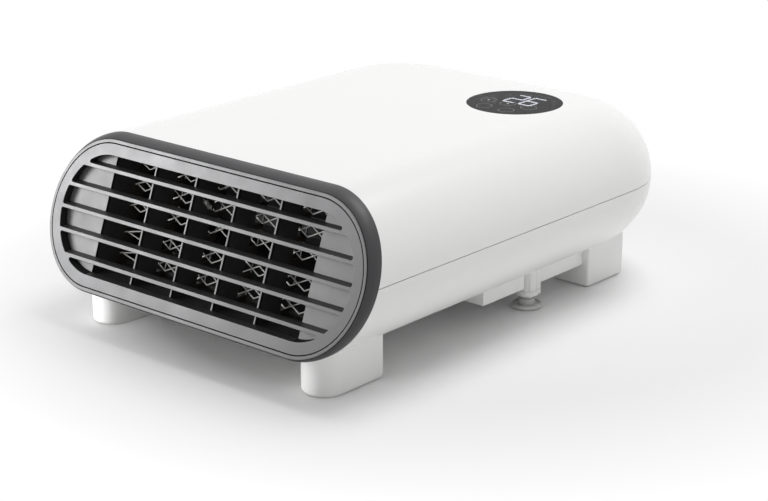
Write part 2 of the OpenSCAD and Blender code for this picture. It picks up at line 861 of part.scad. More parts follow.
module blower_housing() placed() color([0.2, 0.2, 0.2]) difference() {
  union() {
    leaning(house_d, big) at_blower() {
      along_x(plate_x0, plate_x1 + housing_t) scroll_outline();
      along_x(plate_x0, plate_x0 + housing_t) end_plate_outline(bush_r);
      along_x(plate_x1, plate_x1 + housing_t) end_plate_outline(shaft_r + 3);
      bracket_posts(plate_x1 + housing_t, bracket_x0);
      for (x = housing_post_x) along_x(x - 7, x + 7)
        translate([-5, -scroll_r - housing_t]) square([lug_l + 5, housing_t]);
    }
    face_plate(house_d, house_d + flange_t) difference() {
      translate([plate_x0, -mica_h / 2]) square([mica_w / 2 + 2 - plate_x0, mica_h]);
      translate([-mica_w / 2 + mica_t, -scroll_r]) square([plate_x1 + mica_w / 2 - mica_t, 2 * scroll_r]);
    }
  }
  at_housing_posts() translate([0, 0, -case_r]) cylinder(r = small_screw_r + touch, h = case_r - 20);
}

tongue_y1 = -10;

module air_tongue() placed() color([0.24, 0.24, 0.24]) leaning(house_d + flange_t, big) at_blower()
  along_x(plate_x0 + housing_t, plate_x1) {
    translate([floor_y0, scroll_r]) square([tongue_y1 - floor_y0, housing_t]);
    difference() {
      intersection() {
        circle(scroll_r + housing_t);
        translate([-scroll_r - housing_t, 0]) square([scroll_r + housing_t + tongue_y1, scroll_r + housing_t]);
        rotate(100) square([2 * scroll_r, 2 * scroll_r]);
        rotate(50) square([2 * scroll_r, 2 * scroll_r]);
      }
      circle(wheel_r + 1.8);
    }
  }

// Display

board_gap = 9;
board_top = case_r - glass_t - board_gap;
small_screw_r = 1.1;
display_board_w = 62;
display_board_l = 52;
key_at = [[-16.6, -4.8], [-1.6, -4.8], [14.5, -4.8], [-9.6, -18.4], [7.5, -18.4]];

module at_display() translate([display_x, display_y, axis_z]) children();

module at_display_posts() {
  for (i = [-1, 1], j = [-1, 1])
    translate([display_x + i * (display_board_w / 2 - 4), display_y + j * (display_board_l / 2 - 4), axis_z]) children();
}

module display_glass() placed() color([0.1, 0.1, 0.11]) at_display()
  translate([0, 0, case_r - glass_t]) cylinder(r = glass_r, h = glass_t);

// Seven-segment digits under the glass: a to g, in the usual order
segments_on = [[1, 1, 0, 1, 1, 0, 1], [1, 0, 1, 1, 1, 1, 1]];
digit_t = 0.3;
digit_gap = 2.4;
segment_lap = 0.3;
digit_y = 11.2;
digit_x = -0.6;

module segment(i) {
  w = digit_w - segment_w;
  h = (digit_h - segment_w) / 2;
  place = [[0, h], [w / 2, h / 2], [w / 2, -h / 2], [0, -h], [-w / 2, -h / 2], [-w / 2, h / 2], [0, 0]];
  flat = i == 0 || i == 3 || i == 6;
  short = segment_w - segment_lap;
  translate(place[i]) square(flat ? [w - short, segment_w * 0.9] : [segment_w * 0.9, h - short], center = true);
}

module display_digits() placed() color([0.95, 0.95, 0.95]) at_display()
  translate([0, 0, case_r - glass_t - 0.1 - digit_t]) linear_extrude(digit_t)
    for (d = [0, 1]) translate([digit_x + (d - 0.5) * (digit_w + digit_gap), digit_y])
      for (i = [0:6]) if (segments_on[d][i] == 1) segment(i);

module digit_module() placed() color([0.12, 0.12, 0.12]) at_display() {
  top = case_r - glass_t - 0.1 - digit_t;
  translate([digit_x - digit_w - 3, digit_y - digit_h / 2 - 2, board_top])
    cube([2 * digit_w + 6, digit_h + 4, top - board_top]);
}

module display_board() placed() color([0.1, 0.35, 0.2]) difference() {
  at_display() translate([-display_board_w / 2, -display_board_l / 2, board_top - board_t])
    cube([display_board_w, display_board_l, board_t]);
  at_display_posts() translate([0, 0, board_top - 5]) cylinder(r = small_screw_r + touch, h = 10);
}

module touch_contacts() placed() color([0.7, 0.7, 0.7]) at_display()
  for (p = key_at) translate([p[0], p[1], board_top]) cylinder(r = 3, h = case_r - glass_t - board_top - 0.1);

// Power board and its parts, laid out from the board's middle

module at_board() translate([board_x, board_y, axis_z + board_z]) children();

module power_board() placed() color([0.1, 0.35, 0.2]) difference() {
  at_board() translate([-board_w / 2, -board_l / 2, 0]) cube([board_w, board_l, board_t]);
  at_board_posts() translate([0, 0, board_z - 5]) cylinder(r = small_screw_r + touch, h = 12);
}

relay_size = [15.4, 19, 15.2];
film_size = [18, 10, 15];
can_r = 4.5;
can_h = 14;
block_size = [30, 11, 13];
pole_n = 4;
pole_pitch = block_size[0] / pole_n;

module relays() placed() color([0.15, 0.3, 0.55]) at_board()
  for (x = [-24, -4]) translate([x, 6, board_t]) cube(relay_size);

module capacitors() placed() color([0.75, 0.65, 0.25]) at_board() {
  translate([14, 8, board_t]) cube(film_size);
  for (x = [20, 31]) translate([x, -4, board_t]) cylinder(r = can_r, h = can_h);
}

// Each pole has a screw hole from above and a wire hole from the front
module terminal_block() placed() color([0.85, 0.85, 0.83]) at_board() difference() {
  translate([-28, -24, board_t]) cube(block_size);
  for (i = [0:pole_n - 1]) translate([-28 + (i + 0.5) * pole_pitch, -18.5, board_t]) {
    translate([0, 0, block_size[2] - 5]) cylinder(r = 2, h = 10);
    translate([-1.8, -20, 2.4]) cube([3.6, 22, 3.8]);
  }
}

// Cable gland in the back of the lower shell

gland_x = -50;
gland_z = -16;
gland_neck_r = gland_r + 2;
gland_flange_r = gland_neck_r + 2.2;
gland_surface = body_len - case_r + sqrt(case_r * case_r - gland_z * gland_z);
gland_seat = -6;

module at_gland() translate([gland_x, gland_surface, axis_z + gland_z]) rotate([-90, 0, 0]) children();

module cable_gland() placed() color([0.85, 0.85, 0.84]) at_gland() difference() {
  union() {
    translate([0, 0, gland_seat]) cylinder(r = gland_flange_r, h = 3.4);
    translate([0, 0, gland_seat - 5.4]) cylinder(r = gland_neck_r, h = 10);
    translate([0, 0, gland_seat - 5.4]) cylinder(r = gland_flange_r - 0.6, h = 3);
  }
  translate([0, 0, -30]) cylinder(r = gland_r, h = 60);
}

// Feet

foot_x = foot_span / 2 - front_foot_w / 2;
foot_r = front_foot_w / 2;
rear_foot_x = foot_span / 2 - rear_foot_w / 2;
foot_slices = [[0, 1], [0.5, 0.42], [1, 0.12], [1.6, 0]];

module front_foot_outline(inset) {
  circle(foot_r - inset);
  translate([-foot_r + inset, 0]) square([2 * (foot_r - inset), front_foot_l - foot_r - inset]);
}

module rear_foot_outline(inset)
  translate([-rear_foot_w / 2 + inset, inset]) square([rear_foot_w - 2 * inset, rear_foot_l - 2 * inset]);

// Stands a foot's outline on the floor, with a rounded lower edge, up to the case
module foot(front) {
  hull() for (s = foot_slices) translate([0, 0, pad_proud + s[0] * foot_round]) linear_extrude(0.1, $fn = 48)
    if (front) front_foot_outline(foot_round * s[1]);
    else rear_foot_outline(foot_round * s[1]);
  translate([0, 0, pad_proud + 1.6 * foot_round]) linear_extrude(case_r)
    if (front) front_foot_outline(0);
    else rear_foot_outline(0);
}

pad_inset = 4;
pad_clear = 0.15;

module at_front_feet() for (x = [foot_x, left_foot_in - foot_x]) translate([x, foot_r - front_foot_nose, 0]) children();

module at_rear_feet() for (x = [rear_foot_x, left_foot_in - rear_foot_x]) translate([x, rear_foot_y, 0]) children();

module front_feet() placed() color(white) difference() {
  at_front_feet() foot(true);
  at_front_feet() translate([0, 0, -1]) linear_extrude(1 + pad_t) front_foot_outline(pad_inset - pad_clear);
  case_form(0);
}

module rear_feet() placed() color(white) difference() {
  at_rear_feet() foot(false);
  at_rear_feet() translate([0, 0, -1]) linear_extrude(1 + pad_t) rear_foot_outline(pad_inset - pad_clear);
  case_form(0);
}

module foot_pads() placed() color([0.25, 0.25, 0.25]) {
  at_front_feet() linear_extrude(pad_t) front_foot_outline(pad_inset);
  at_rear_feet() linear_extrude(pad_t) rear_foot_outline(pad_inset);
}

// Wall plate: a shallow tray under the case with two keyholes for wall screws

plate_l = rear_foot_y - plate_y - fit;
guide_notch = 10;
plate_screw_at = [[-70, plate_y + 12], [70, plate_y + 12], [-70, plate_y + plate_l - 12], [70, plate_y + plate_l - 12]];

module at_plate_screws() for (p = plate_screw_at) translate([p[0], p[1], 0]) children();

module keyhole_outline() {
  circle(keyhole_r);
  translate([-keyhole_neck_r, 0]) square([2 * keyhole_neck_r, 9]);
  translate([0, 9]) circle(keyhole_neck_r);
}

module wall_plate() placed() color(white) difference() {
  translate([-plate_w / 2, plate_y, plate_z]) cube([plate_w, plate_l, case_r]);
  translate([-plate_w / 2 + plate_rim, plate_y + 3, plate_z + plate_t]) cube([plate_w - 2 * plate_rim, plate_l - 6, case_r]);
  for (s = [-1, 1]) translate([s * keyhole_span / 2, plate_y + plate_l / 2, plate_z - 1])
    linear_extrude(plate_t + 2) keyhole_outline();
  translate([plunger_x - guide_notch, plunger_y - guide_notch, plate_z - 1])
    cube([big, guide_notch + post_y1 - plunger_y + fit, case_r]);
  at_plate_screws() translate([0, 0, plate_z - 1]) {
    cylinder(r = small_screw_r + screw_clear, h = 20);
    cylinder(r = 2.6, h = 2.1);
  }
  case_form(0);
}

// Tip-over switch

plunger_top = 38.4;
shoulder_z = 15.6;

module at_plunger() translate([plunger_x, plunger_y, 0]) children();

// Half of the plunger's foot: a round-edged disc with a shallow ring sunk in its top
module plunger_foot_profile() difference() {
  union() {
    square([plunger_foot_r - plunger_foot_t / 2, plunger_foot_t]);
    translate([plunger_foot_r - plunger_foot_t / 2, plunger_foot_t / 2]) circle(plunger_foot_t / 2);
  }
  translate([stem_r + 1.8, plunger_foot_t - 0.6]) square([2.2, 1]);
}

module plunger() placed() color([0.88, 0.88, 0.87]) at_plunger() difference() {
  union() {
    translate([0, 0, plunger_rest]) rotate_extrude() plunger_foot_profile();
    translate([0, 0, plunger_rest + 1]) cylinder(r = stem_r + 1, h = 4.8);
    translate([0, 0, plunger_rest + 1]) cylinder(r = stem_r, h = shoulder_z - plunger_rest - 1);
    translate([0, 0, shoulder_z - 1]) cylinder(r = stem_top_r, h = plunger_top - shoulder_z + 1);
  }
  translate([0, 0, guide_top + plunger_travel + 0.3]) difference() {
    cylinder(r = 2 * stem_top_r, h = clip_t + 0.2);
    translate([0, 0, -1]) cylinder(r = stem_top_r - 0.5, h = 4);
  }
}

clip_t = 0.8;

module plunger_clip() placed() color([0.6, 0.6, 0.62]) at_plunger()
  translate([0, 0, guide_top + plunger_travel + 0.4]) linear_extrude(clip_t) difference() {
    circle(stem_top_r + 1.8);
    circle(stem_top_r - 0.4);
    translate([-1.4, 0]) square([2.8, 2 * stem_top_r]);
  }

spring_r = (stem_r + stem_top_r) / 2;
spring_z0 = shoulder_z + spring_d / 2 + 0.05;
spring_z1 = bore_top - spring_d / 2 - 0.05;
spring_steps = 12;

// Helix of the spring: radius spring_r, rising evenly over spring_turns turns
module plunger_spring() placed() color([0.7, 0.7, 0.72]) at_plunger() {
  n = spring_turns * spring_steps;
  sides = 6;
  points = [for (i = [0:n], s = [0:sides - 1]) let (
      a = 360 * i / spring_steps,
      f = 360 * s / sides,
      rad = spring_r + spring_d / 2 * cos(f)
    ) [rad * cos(a), rad * sin(a), spring_z0 + (spring_z1 - spring_z0) * i / n + spring_d / 2 * sin(f)]];
  side_faces = [for (i = [0:n - 1], s = [0:sides - 1]) let (
      p = i * sides + s,
      q = i * sides + (s + 1) % sides
    ) each [[p, q + sides, q], [p, p + sides, q + sides]]];
  cap_faces = [for (s = [1:sides - 2]) each [[0, s, s + 1], [n * sides, n * sides + s + 1, n * sides + s]]];
  polyhedron(points, concat(side_faces, cap_faces));
}

lever_t = 0.5;
lever_z = plunger_top + 0.3;
pivot_y = switch_y0 + switch_l - 1;
pivot_r = 0.8;
pivot_z = lever_z + pivot_r;

module micro_switch() placed() color([0.15, 0.15, 0.16]) difference() {
  union() {
    translate([plunger_x - switch_w / 2, switch_y0, switch_z0]) cube([switch_w, switch_l, switch_h]);
    translate([plunger_x - 1.2, switch_y0 + 7, lever_z + lever_t + 0.3])
      cube([2.4, 3, switch_z0 - lever_z - lever_t]);
    for (y = [2, 9, 16]) translate([plunger_x - 0.4, switch_y0 + y, switch_z0 + switch_h - 0.1]) cube([0.8, 3, 6]);
    for (x = [-switch_w / 2, switch_w / 2 - 0.9])
      translate([plunger_x + x, pivot_y - 1.6, pivot_z - 1.6]) cube([0.9, 3.2, switch_z0 - pivot_z + 1.7]);
  }
  switch_pins(pin_r, switch_w + 4);
  translate([plunger_x - switch_w, pivot_y, pivot_z]) rotate([0, 90, 0]) cylinder(r = pivot_r + run_clear, h = 2 * switch_w);
}

module switch_lever() placed() color([0.75, 0.75, 0.76]) {
  translate([plunger_x - 2, switch_y0 - 1, lever_z]) cube([4, pivot_y - switch_y0 + 1.4, lever_t]);
  translate([plunger_x - switch_w / 2, pivot_y, pivot_z]) rotate([0, 90, 0]) cylinder(r = pivot_r, h = switch_w);
}

// Screws

module screw(r, h, head_r, head_h) {
  difference() {
    translate([0, 0, -head_h]) cylinder(r = head_r, h = head_h);
    for (a = [0, 90]) rotate(a) translate([-head_r * 0.55, -0.35, -head_h - 1]) cube([head_r * 1.1, 0.7, 1 + head_h * 0.5]);
  }
  cylinder(r = r, h = h);
}

module case_screws() placed() color([0.55, 0.55, 0.57])
  at_case_screws() translate([0, 0, screw_seat]) screw(screw_r, screw_l, screw_head_r, head_t);

module plate_screws() placed() color([0.55, 0.55, 0.57])
  at_plate_screws() translate([0, 0, plate_z + 1.1]) screw(small_screw_r, 9, 2.4, 1);

module board_screws() placed() color([0.55, 0.55, 0.57]) {
  at_board_posts() translate([0, 0, board_z + board_t]) mirror([0, 0, 1]) screw(small_screw_r, 5, 2.2, 1.4);
  at_display_posts() translate([0, 0, board_top - board_t]) screw(small_screw_r, 5, 2.2, 1.4);
}

module housing_screws() placed() color([0.55, 0.55, 0.57])
  at_housing_posts() translate([0, 0, -scroll_r]) mirror([0, 0, 1]) screw(small_screw_r, 6, 2.2, 1.2);

module motor_screws() placed() color([0.55, 0.55, 0.57]) at_blower()
  for (s = [-1, 1]) translate([bracket_x1 + bracket_t, -4, axis_z + s * bracket_z])
    rotate([0, -90, 0]) screw(motor_screw_r, bracket_x1 + bracket_t - plate_x1 - housing_t - 0.6, 2.8, 2);

upper_shell();
lower_shell();
bezel_ring();
trim_ring();
outlet_grille();
outlet_frame();
outlet_duct();
mica_frame();
front_heating_wire();
rear_heating_wire();
element_terminals();
thermal_cutout();
thermal_fuse();
blower_wheel();
blower_shaft();
motor_rotor();
shaft_bushes();
motor_core();
motor_coil();
motor_brackets();
motor_screws();
blower_housing();
air_tongue();
display_glass();
display_digits();
digit_module();
display_board();
touch_contacts();
power_board();
relays();
capacitors();
terminal_block();
cable_gland();
front_feet();
rear_feet();
foot_pads();
wall_plate();
plunger();
plunger_clip();
plunger_spring();
micro_switch();
switch_lever();
case_screws();
plate_screws();
board_screws();
housing_screws();
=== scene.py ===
from math import pi, radians, tan

import bmesh
import bpy
import numpy as np
from bpy.props import FloatProperty, FloatVectorProperty, IntProperty, PointerProperty
from mathutils import Matrix, Vector
from mathutils.geometry import tessellate_polygon


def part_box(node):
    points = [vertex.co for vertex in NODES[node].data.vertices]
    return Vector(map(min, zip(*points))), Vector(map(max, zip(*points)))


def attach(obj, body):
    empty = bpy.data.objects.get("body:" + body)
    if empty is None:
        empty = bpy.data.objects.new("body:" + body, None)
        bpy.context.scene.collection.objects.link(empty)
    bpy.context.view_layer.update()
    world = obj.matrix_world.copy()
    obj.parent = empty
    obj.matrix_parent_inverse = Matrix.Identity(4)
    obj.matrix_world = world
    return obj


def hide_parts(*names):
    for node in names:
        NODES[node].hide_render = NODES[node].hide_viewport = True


bl_info = {
    "name": "Fan heater",
    "version": (1, 0, 0),
    "blender": (4, 5, 0),
    "location": "3D View > Sidebar > Heater",
    "description": "Builds the visible pieces and finishes of a wall-mounted fan heater",
    "category": "Add Mesh",
}

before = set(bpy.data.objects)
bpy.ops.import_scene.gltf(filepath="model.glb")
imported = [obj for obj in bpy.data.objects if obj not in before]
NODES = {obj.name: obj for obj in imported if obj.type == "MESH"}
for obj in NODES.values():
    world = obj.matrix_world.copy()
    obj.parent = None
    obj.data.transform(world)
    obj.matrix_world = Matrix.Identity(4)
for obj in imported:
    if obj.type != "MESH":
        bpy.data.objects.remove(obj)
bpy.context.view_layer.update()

# The photograph's frame, and the camera fitted to it
PHOTO_WIDTH, PHOTO_HEIGHT = 768, 501
SENSOR = 36.0
CAMERA_PLACE = Vector((0.75983, -0.86326, 0.4116))
CAMERA_RIGHT = Vector((0.7549, 0.6558, 0.0))
CAMERA_AHEAD = Vector((-0.6217, 0.7157, -0.3183))
CAMERA_ROLL = radians(-0.1)

# An edge that turns by more than this shows as an edge
SHARP = radians(38)
# Cosine to the outlet's direction below which a face counts as a wall of an opening
WALL_FACES = 0.35
# Places of the five touch keys from the middle of the glass
KEYS = [(-0.0166, -0.0048), (-0.0016, -0.0048), (0.0145, -0.0048), (-0.0096, -0.0184), (0.0075, -0.0184)]
# Heights of the wire rows from the axis: three in the upper group, two in the lower one
ROWS = [0.024, 0.0119, -0.0002, -0.0154, -0.0275]
UPPER_ROWS = 3


# Sizes and colours that a user would change


def length(name, description, default, low=0.0, high=1.0):
    """A size in metres."""
    return FloatProperty(name=name, description=description, default=default, min=low, max=high,
                         unit="LENGTH", subtype="DISTANCE", precision=4)


def tint(name, description, default):
    """A colour."""
    return FloatVectorProperty(name=name, description=description, default=default, size=3,
                               min=0, max=1, subtype="COLOR")


class OutletSettings(bpy.types.PropertyGroup):
    """Sizes of the leaning outlet face"""

    half_straight: length("Half straight", "Half length of the straight part between the round ends", 0.082)
    radius: length("Radius", "Radius of the case's round sides", 0.045)
    axis: length("Axis height", "Height of the case's middle above the floor", 0.067)
    front: length("Front", "Place of the face's middle along Y", -0.148055, -1)
    lean: FloatProperty(name="Lean", description="Lean of the face, top towards the back",
                        default=radians(20.5), subtype="ANGLE", unit="ROTATION")
    trim_outer: length("Trim outer", "Outer radius of the trim ring", 0.0425)
    trim_inner: length("Trim inner", "Inner radius of the trim ring's front", 0.0406)
    ledge: length("Ledge", "Inner radius of the trim ring's ledge", 0.0386)
    grille: length("Grille", "Outer radius of the grille", 0.0401)
    slot: length("Slot ends", "Radius on which the slots end", 0.0336)
    grille_depth: length("Grille depth", "Thickness of the grille's rim", 0.004)
    slats: IntProperty(name="Slats", description="Number of slats", default=5, min=1, max=9)
    slat: length("Slat", "Thickness of a slat", 0.0021)
    slat_depth: length("Slat depth", "Depth of the slats, down to the mask plate", 0.0056)
    slat_drop: length("Slat drop", "How far the slats lie below the even spacing", 0.0002)
    pitch: length("Slat pitch", "Distance between slats", 0.0129)
    mask: length("Mask", "Outer radius of the mask plate", 0.0399)
    mask_depth: length("Mask thickness", "Thickness of the mask plate", 0.002)
    duct_width: length("Duct width", "Width of the outlet opening", 0.167)
    duct_height: length("Duct height", "Height of the outlet opening", 0.07)
    cells: IntProperty(name="Cells", description="Number of air cells", default=5, min=1, max=9)
    fin: length("Fin", "Thickness of an upright fin", 0.0012)


class WireSettings(bpy.types.PropertyGroup):
    """Sizes of the heating wires"""

    diameter: length("Diameter", "Diameter of the wire", 0.0008)
    step: length("Crest step", "Distance between neighbouring crests", 0.0121)
    height: length("Half height", "Half height of the zigzag", 0.00244)
    half_width: length("Half width", "Half width between the last bends", 0.087)
    duct: length("Duct", "Half width of the duct", 0.0835)
    first: length("First crest", "Distance of the first crest from the duct's side, upper rows", 0.0076)
    first_low: length("First crest, low", "The same in the lower rows", 0.0141)
    depth: length("Depth", "Depth of the front wire behind the face", 0.0261)
    layer: length("Layer gap", "Distance of the rear wire behind the front one", 0.0014)


class DisplaySettings(bpy.types.PropertyGroup):
    """Sizes of the display glass"""

    radius: length("Radius", "Radius of the glass", 0.03)
    thickness: length("Thickness", "Thickness of the glass", 0.0016)
    ring: length("Touch ring", "Radius of a touch mark", 0.0049)
    dot: length("Lit dot", "Radius of the lit dot in two of the touch marks", 0.0009)
    glow: FloatProperty(name="Digit glow", description="Strength of the lit digits", default=15.0, min=0)


class FootSettings(bpy.types.PropertyGroup):
    """Sizes of the feet"""

    front_width: length("Front width", "Width of a front foot", 0.0262)
    front_length: length("Front length", "Length of a front foot", 0.047)
    rear_width: length("Rear width", "Width of a rear foot", 0.0278)
    rear_length: length("Rear length", "Length of a rear foot", 0.038)
    rounding: length("Rounding", "Rounding of the lower edge", 0.0018)
    proud: length("Pad height", "Height of the foot above the floor", 0.0004)


class FinishSettings(bpy.types.PropertyGroup):
    """Colours of the finishes"""

    bezel_dark: tint("Bezel", "Fine dark grey moulding", (0.055, 0.055, 0.058))
    outlet_grey: tint("Outlet", "Satin silver grey of the grille and trim", (0.112, 0.112, 0.114))
    mask_grey: tint("Mask", "Light grey of the plate behind the grille", (0.2, 0.2, 0.2))
    wall_dark: tint("Slot walls", "Dark grey inside the slots and cells", (0.02, 0.02, 0.021))
    duct_black: tint("Duct", "Matt black", (0.035, 0.035, 0.035))
    wire_bright: tint("Wire", "Bright heating wire", (0.92, 0.9, 0.86))
    glass_dark: tint("Glass", "Deep tint of the display glass", (0.05, 0.05, 0.055))


class StudioSettings(bpy.types.PropertyGroup):
    """Camera and light"""

    lens: FloatProperty(name="Lens", description="Focal length of the camera", default=91.61)
    key: FloatProperty(name="Key light", description="Power of the key light", default=13.7, unit="POWER")
    side: FloatProperty(name="Side light", description="Power of the light on the left", default=1.2, unit="POWER")
    wires: FloatProperty(name="Wire light", description="Power of the light on the heating wires", default=0.8,
                         unit="POWER")
    feet: FloatProperty(name="Foot light", description="Power of the light on the front feet", default=0.6,
                        unit="POWER")
    sky: FloatProperty(name="Sky", description="Strength of the light from all round", default=0.4)


def outlet():
    """Sizes of the outlet."""
    return bpy.context.scene.heater_outlet


# Surfaces


def grid_faces(nu, nv, wrap_u, wrap_v):
    """Four-sided faces of a grid of nu by nv points, closed round in u or v where asked."""
    u = np.arange(nu if wrap_u else nu - 1)
    v = np.arange(nv if wrap_v else nv - 1)
    u, v = (a.ravel() for a in np.meshgrid(u, v, indexing="ij"))
    u1, v1 = (u + 1) % nu, (v + 1) % nv
    return np.stack([u * nv + v, u1 * nv + v, u1 * nv + v1, u * nv + v1], 1)


def sheet_of(points, wrap_u=False, wrap_v=False):
    """A grid of points as one patch of a surface."""
    nu, nv = points.shape[:2]
    return points.reshape(-1, 3), grid_faces(nu, nv, wrap_u, wrap_v).tolist()


def filled(rings, flat):
    """A flat patch inside the first ring and outside the others. flat gives each ring's two plane coordinates."""
    triangles = tessellate_polygon([[Vector((*p, 0)) for p in ring] for ring in flat])
    return np.concatenate(rings), [list(t) for t in triangles]


def piece(name, patches, material, body, slot, *stands_for, walls=None):
    """One closed piece of several patches that meet at equal points, riding on a body. Grids are smooth and filled
    faces flat. walls is a second finish, for the faces that don't look out of the outlet."""
    points = np.concatenate([p for p, _ in patches])
    first = np.cumsum([0] + [len(p) for p, _ in patches])
    faces = [[i + n for i in face] for (_, fs), n in zip(patches, first) for face in fs]
    mesh = bpy.data.meshes.new(name)
    mesh.from_pydata(points.tolist(), [], faces)
    work = bmesh.new()
    work.from_mesh(mesh)
    bmesh.ops.remove_doubles(work, verts=work.verts, dist=1e-6)
    bmesh.ops.recalc_face_normals(work, faces=work.faces)
    loose = sum(not e.is_manifold for e in work.edges)
    if loose:
        raise RuntimeError(f"{name} isn't closed: {loose} open edges")
    work.to_mesh(mesh)
    work.free()
    mesh.shade_smooth()
    mesh.set_sharp_from_angle(angle=SHARP)
    sides = np.empty(len(mesh.polygons), np.int32)
    mesh.polygons.foreach_get("loop_total", sides)
    mesh.polygons.foreach_set("use_smooth", sides == 4)
    mesh.materials.append(material)
    if walls:
        mesh.materials.append(walls)
        normals = np.empty(len(mesh.polygons) * 3)
        mesh.polygons.foreach_get("normal", normals)
        outward = normals.reshape(-1, 3) @ outlet_normal()
        mesh.polygons.foreach_set("material_index", (outward < WALL_FACES).astype(np.int32))
    made = bpy.data.objects.new(name, mesh)
    bpy.context.scene.collection.objects.link(made)
    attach(made, body)
    if stands_for:
        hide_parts(*stands_for)
    return made


def rounded(corners, radii, steps=5, edge=0.0):
    """Outline of straight sides whose corner i turns on an arc of radii[i]. The arc's centre lies on the line that
    halves the corner, at radius / sin(half the angle). edge adds a point on each side of an arc, to hold the flats."""
    corners = np.asarray(corners, float)
    out = []
    for i, (p, r) in enumerate(zip(corners, radii)):
        if r == 0:
            out.append(p[None])
            continue
        a = corners[i - 1] - p
        b = corners[(i + 1) % len(corners)] - p
        a, b = a / np.linalg.norm(a), b / np.linalg.norm(b)
        half = np.arccos(np.clip(a @ b, -1, 1)) / 2
        centre = p + (a + b) / np.linalg.norm(a + b) * r / np.sin(half)
        start, end = p + a * r / np.tan(half) - centre, p + b * r / np.tan(half) - centre
        turn = pi - 2 * half
        t = np.linspace(0, 1, steps + 1)[:, None]
        arc = centre + (np.sin((1 - t) * turn) * start + np.sin(t * turn) * end) / np.sin(turn)
        out += [arc[:1] + a * edge, arc, arc[-1:] + b * edge] if edge else [arc]
    return np.concatenate(out)


def outlet_normal():
    """Direction in which the outlet looks."""
    lean = outlet().lean
    return np.array([0, -np.cos(lean), np.sin(lean)])


def face_point(x, z, depth):
    """A point of the leaning outlet: x to the right, z up from the axis, depth straight back from the face."""
    s = outlet()
    x, z, depth = np.broadcast_arrays(x, z, depth)
    return np.stack([x, s.front + depth + z * tan(s.lean), s.axis + z], -1)


def bar_loop(arc=72, line=14):
    """Centres and angles round a bar with half-round ends: the angle turns by half a circle round each end's centre,
    and between the ends the centre runs along the straight side."""
    a = outlet().half_straight
    turn = np.linspace(-pi / 2, pi / 2, arc)
    run = a * np.cos(np.linspace(0, pi, line + 2))[1:-1]
    centre = np.concatenate([np.full(arc, a), run, np.full(arc, -a), -run])
    angle = np.concatenate([turn, np.full(line, pi / 2), turn + pi, np.full(line, -pi / 2)])
    return centre, angle


def round_bar(profile):
    """Carries a profile of (radius, depth) round the bar outline of the outlet."""
    centre, angle = bar_loop()
    r, d = np.asarray(profile).T
    x = centre[:, None] + r * np.cos(angle)[:, None]
    z = r * np.sin(angle)[:, None]
    return face_point(x, z, d)


def revolved(profile, centre, steps=96):
    """Turns a profile of (radius, height) round an upright axis at centre."""
    r, h = np.asarray(profile).T
    t = np.linspace(0, 2 * pi, steps, endpoint=False)[:, None]
    return np.stack([centre[0] + r * np.cos(t), centre[1] + r * np.sin(t), centre[2] + h + 0 * t], -1)


# Finishes


class Nodes:
    """Short way to build the nodes of a material or a world."""

    def __init__(self, owner):
        owner.use_nodes = True
        self.nodes = owner.node_tree.nodes
        self.links = owner.node_tree.links

    def add(self, kind, settings=None, **inputs):
        """Adds a node; settings are its own properties and inputs its sockets, by name with _ for a space."""
        made = self.nodes.new(kind)
        for key, value in (settings or {}).items():
            setattr(made, key, value)
        for key, value in inputs.items():
            self.put(made, key.replace("_", " "), value)
        return made

    def put(self, made, socket, value):
        """Links a socket to another node's output, or sets its value."""
        target = made.inputs[socket]
        if isinstance(value, bpy.types.NodeSocket):
            self.links.new(value, target)
        else:
            target.default_value = value

    def math(self, operation, a, b=0.0):
        """A sum, product or the like of one or two values."""
        made = self.add("ShaderNodeMath", {"operation": operation})
        self.put(made, 0, a)
        self.put(made, 1, b)
        return made.outputs[0]

    def seen(self):
        """1 for rays from the camera and for those that gloss and glass send on, and 0 for the light's own."""
        path = self.add("ShaderNodeLightPath")
        out = path.outputs["Is Camera Ray"]
        for ray in ("Is Glossy Ray", "Is Transmission Ray"):
            out = self.math("MAXIMUM", out, path.outputs[ray])
        return out

    def show(self, output, usual, other, factor):
        """Feeds an output with the usual shader, and with the other one by factor."""
        mix = self.add("ShaderNodeMixShader")
        for socket, value in enumerate((factor, usual, other)):
            self.put(mix, socket, value)
        self.links.new(mix.outputs[0], self.nodes[output].inputs["Surface"])


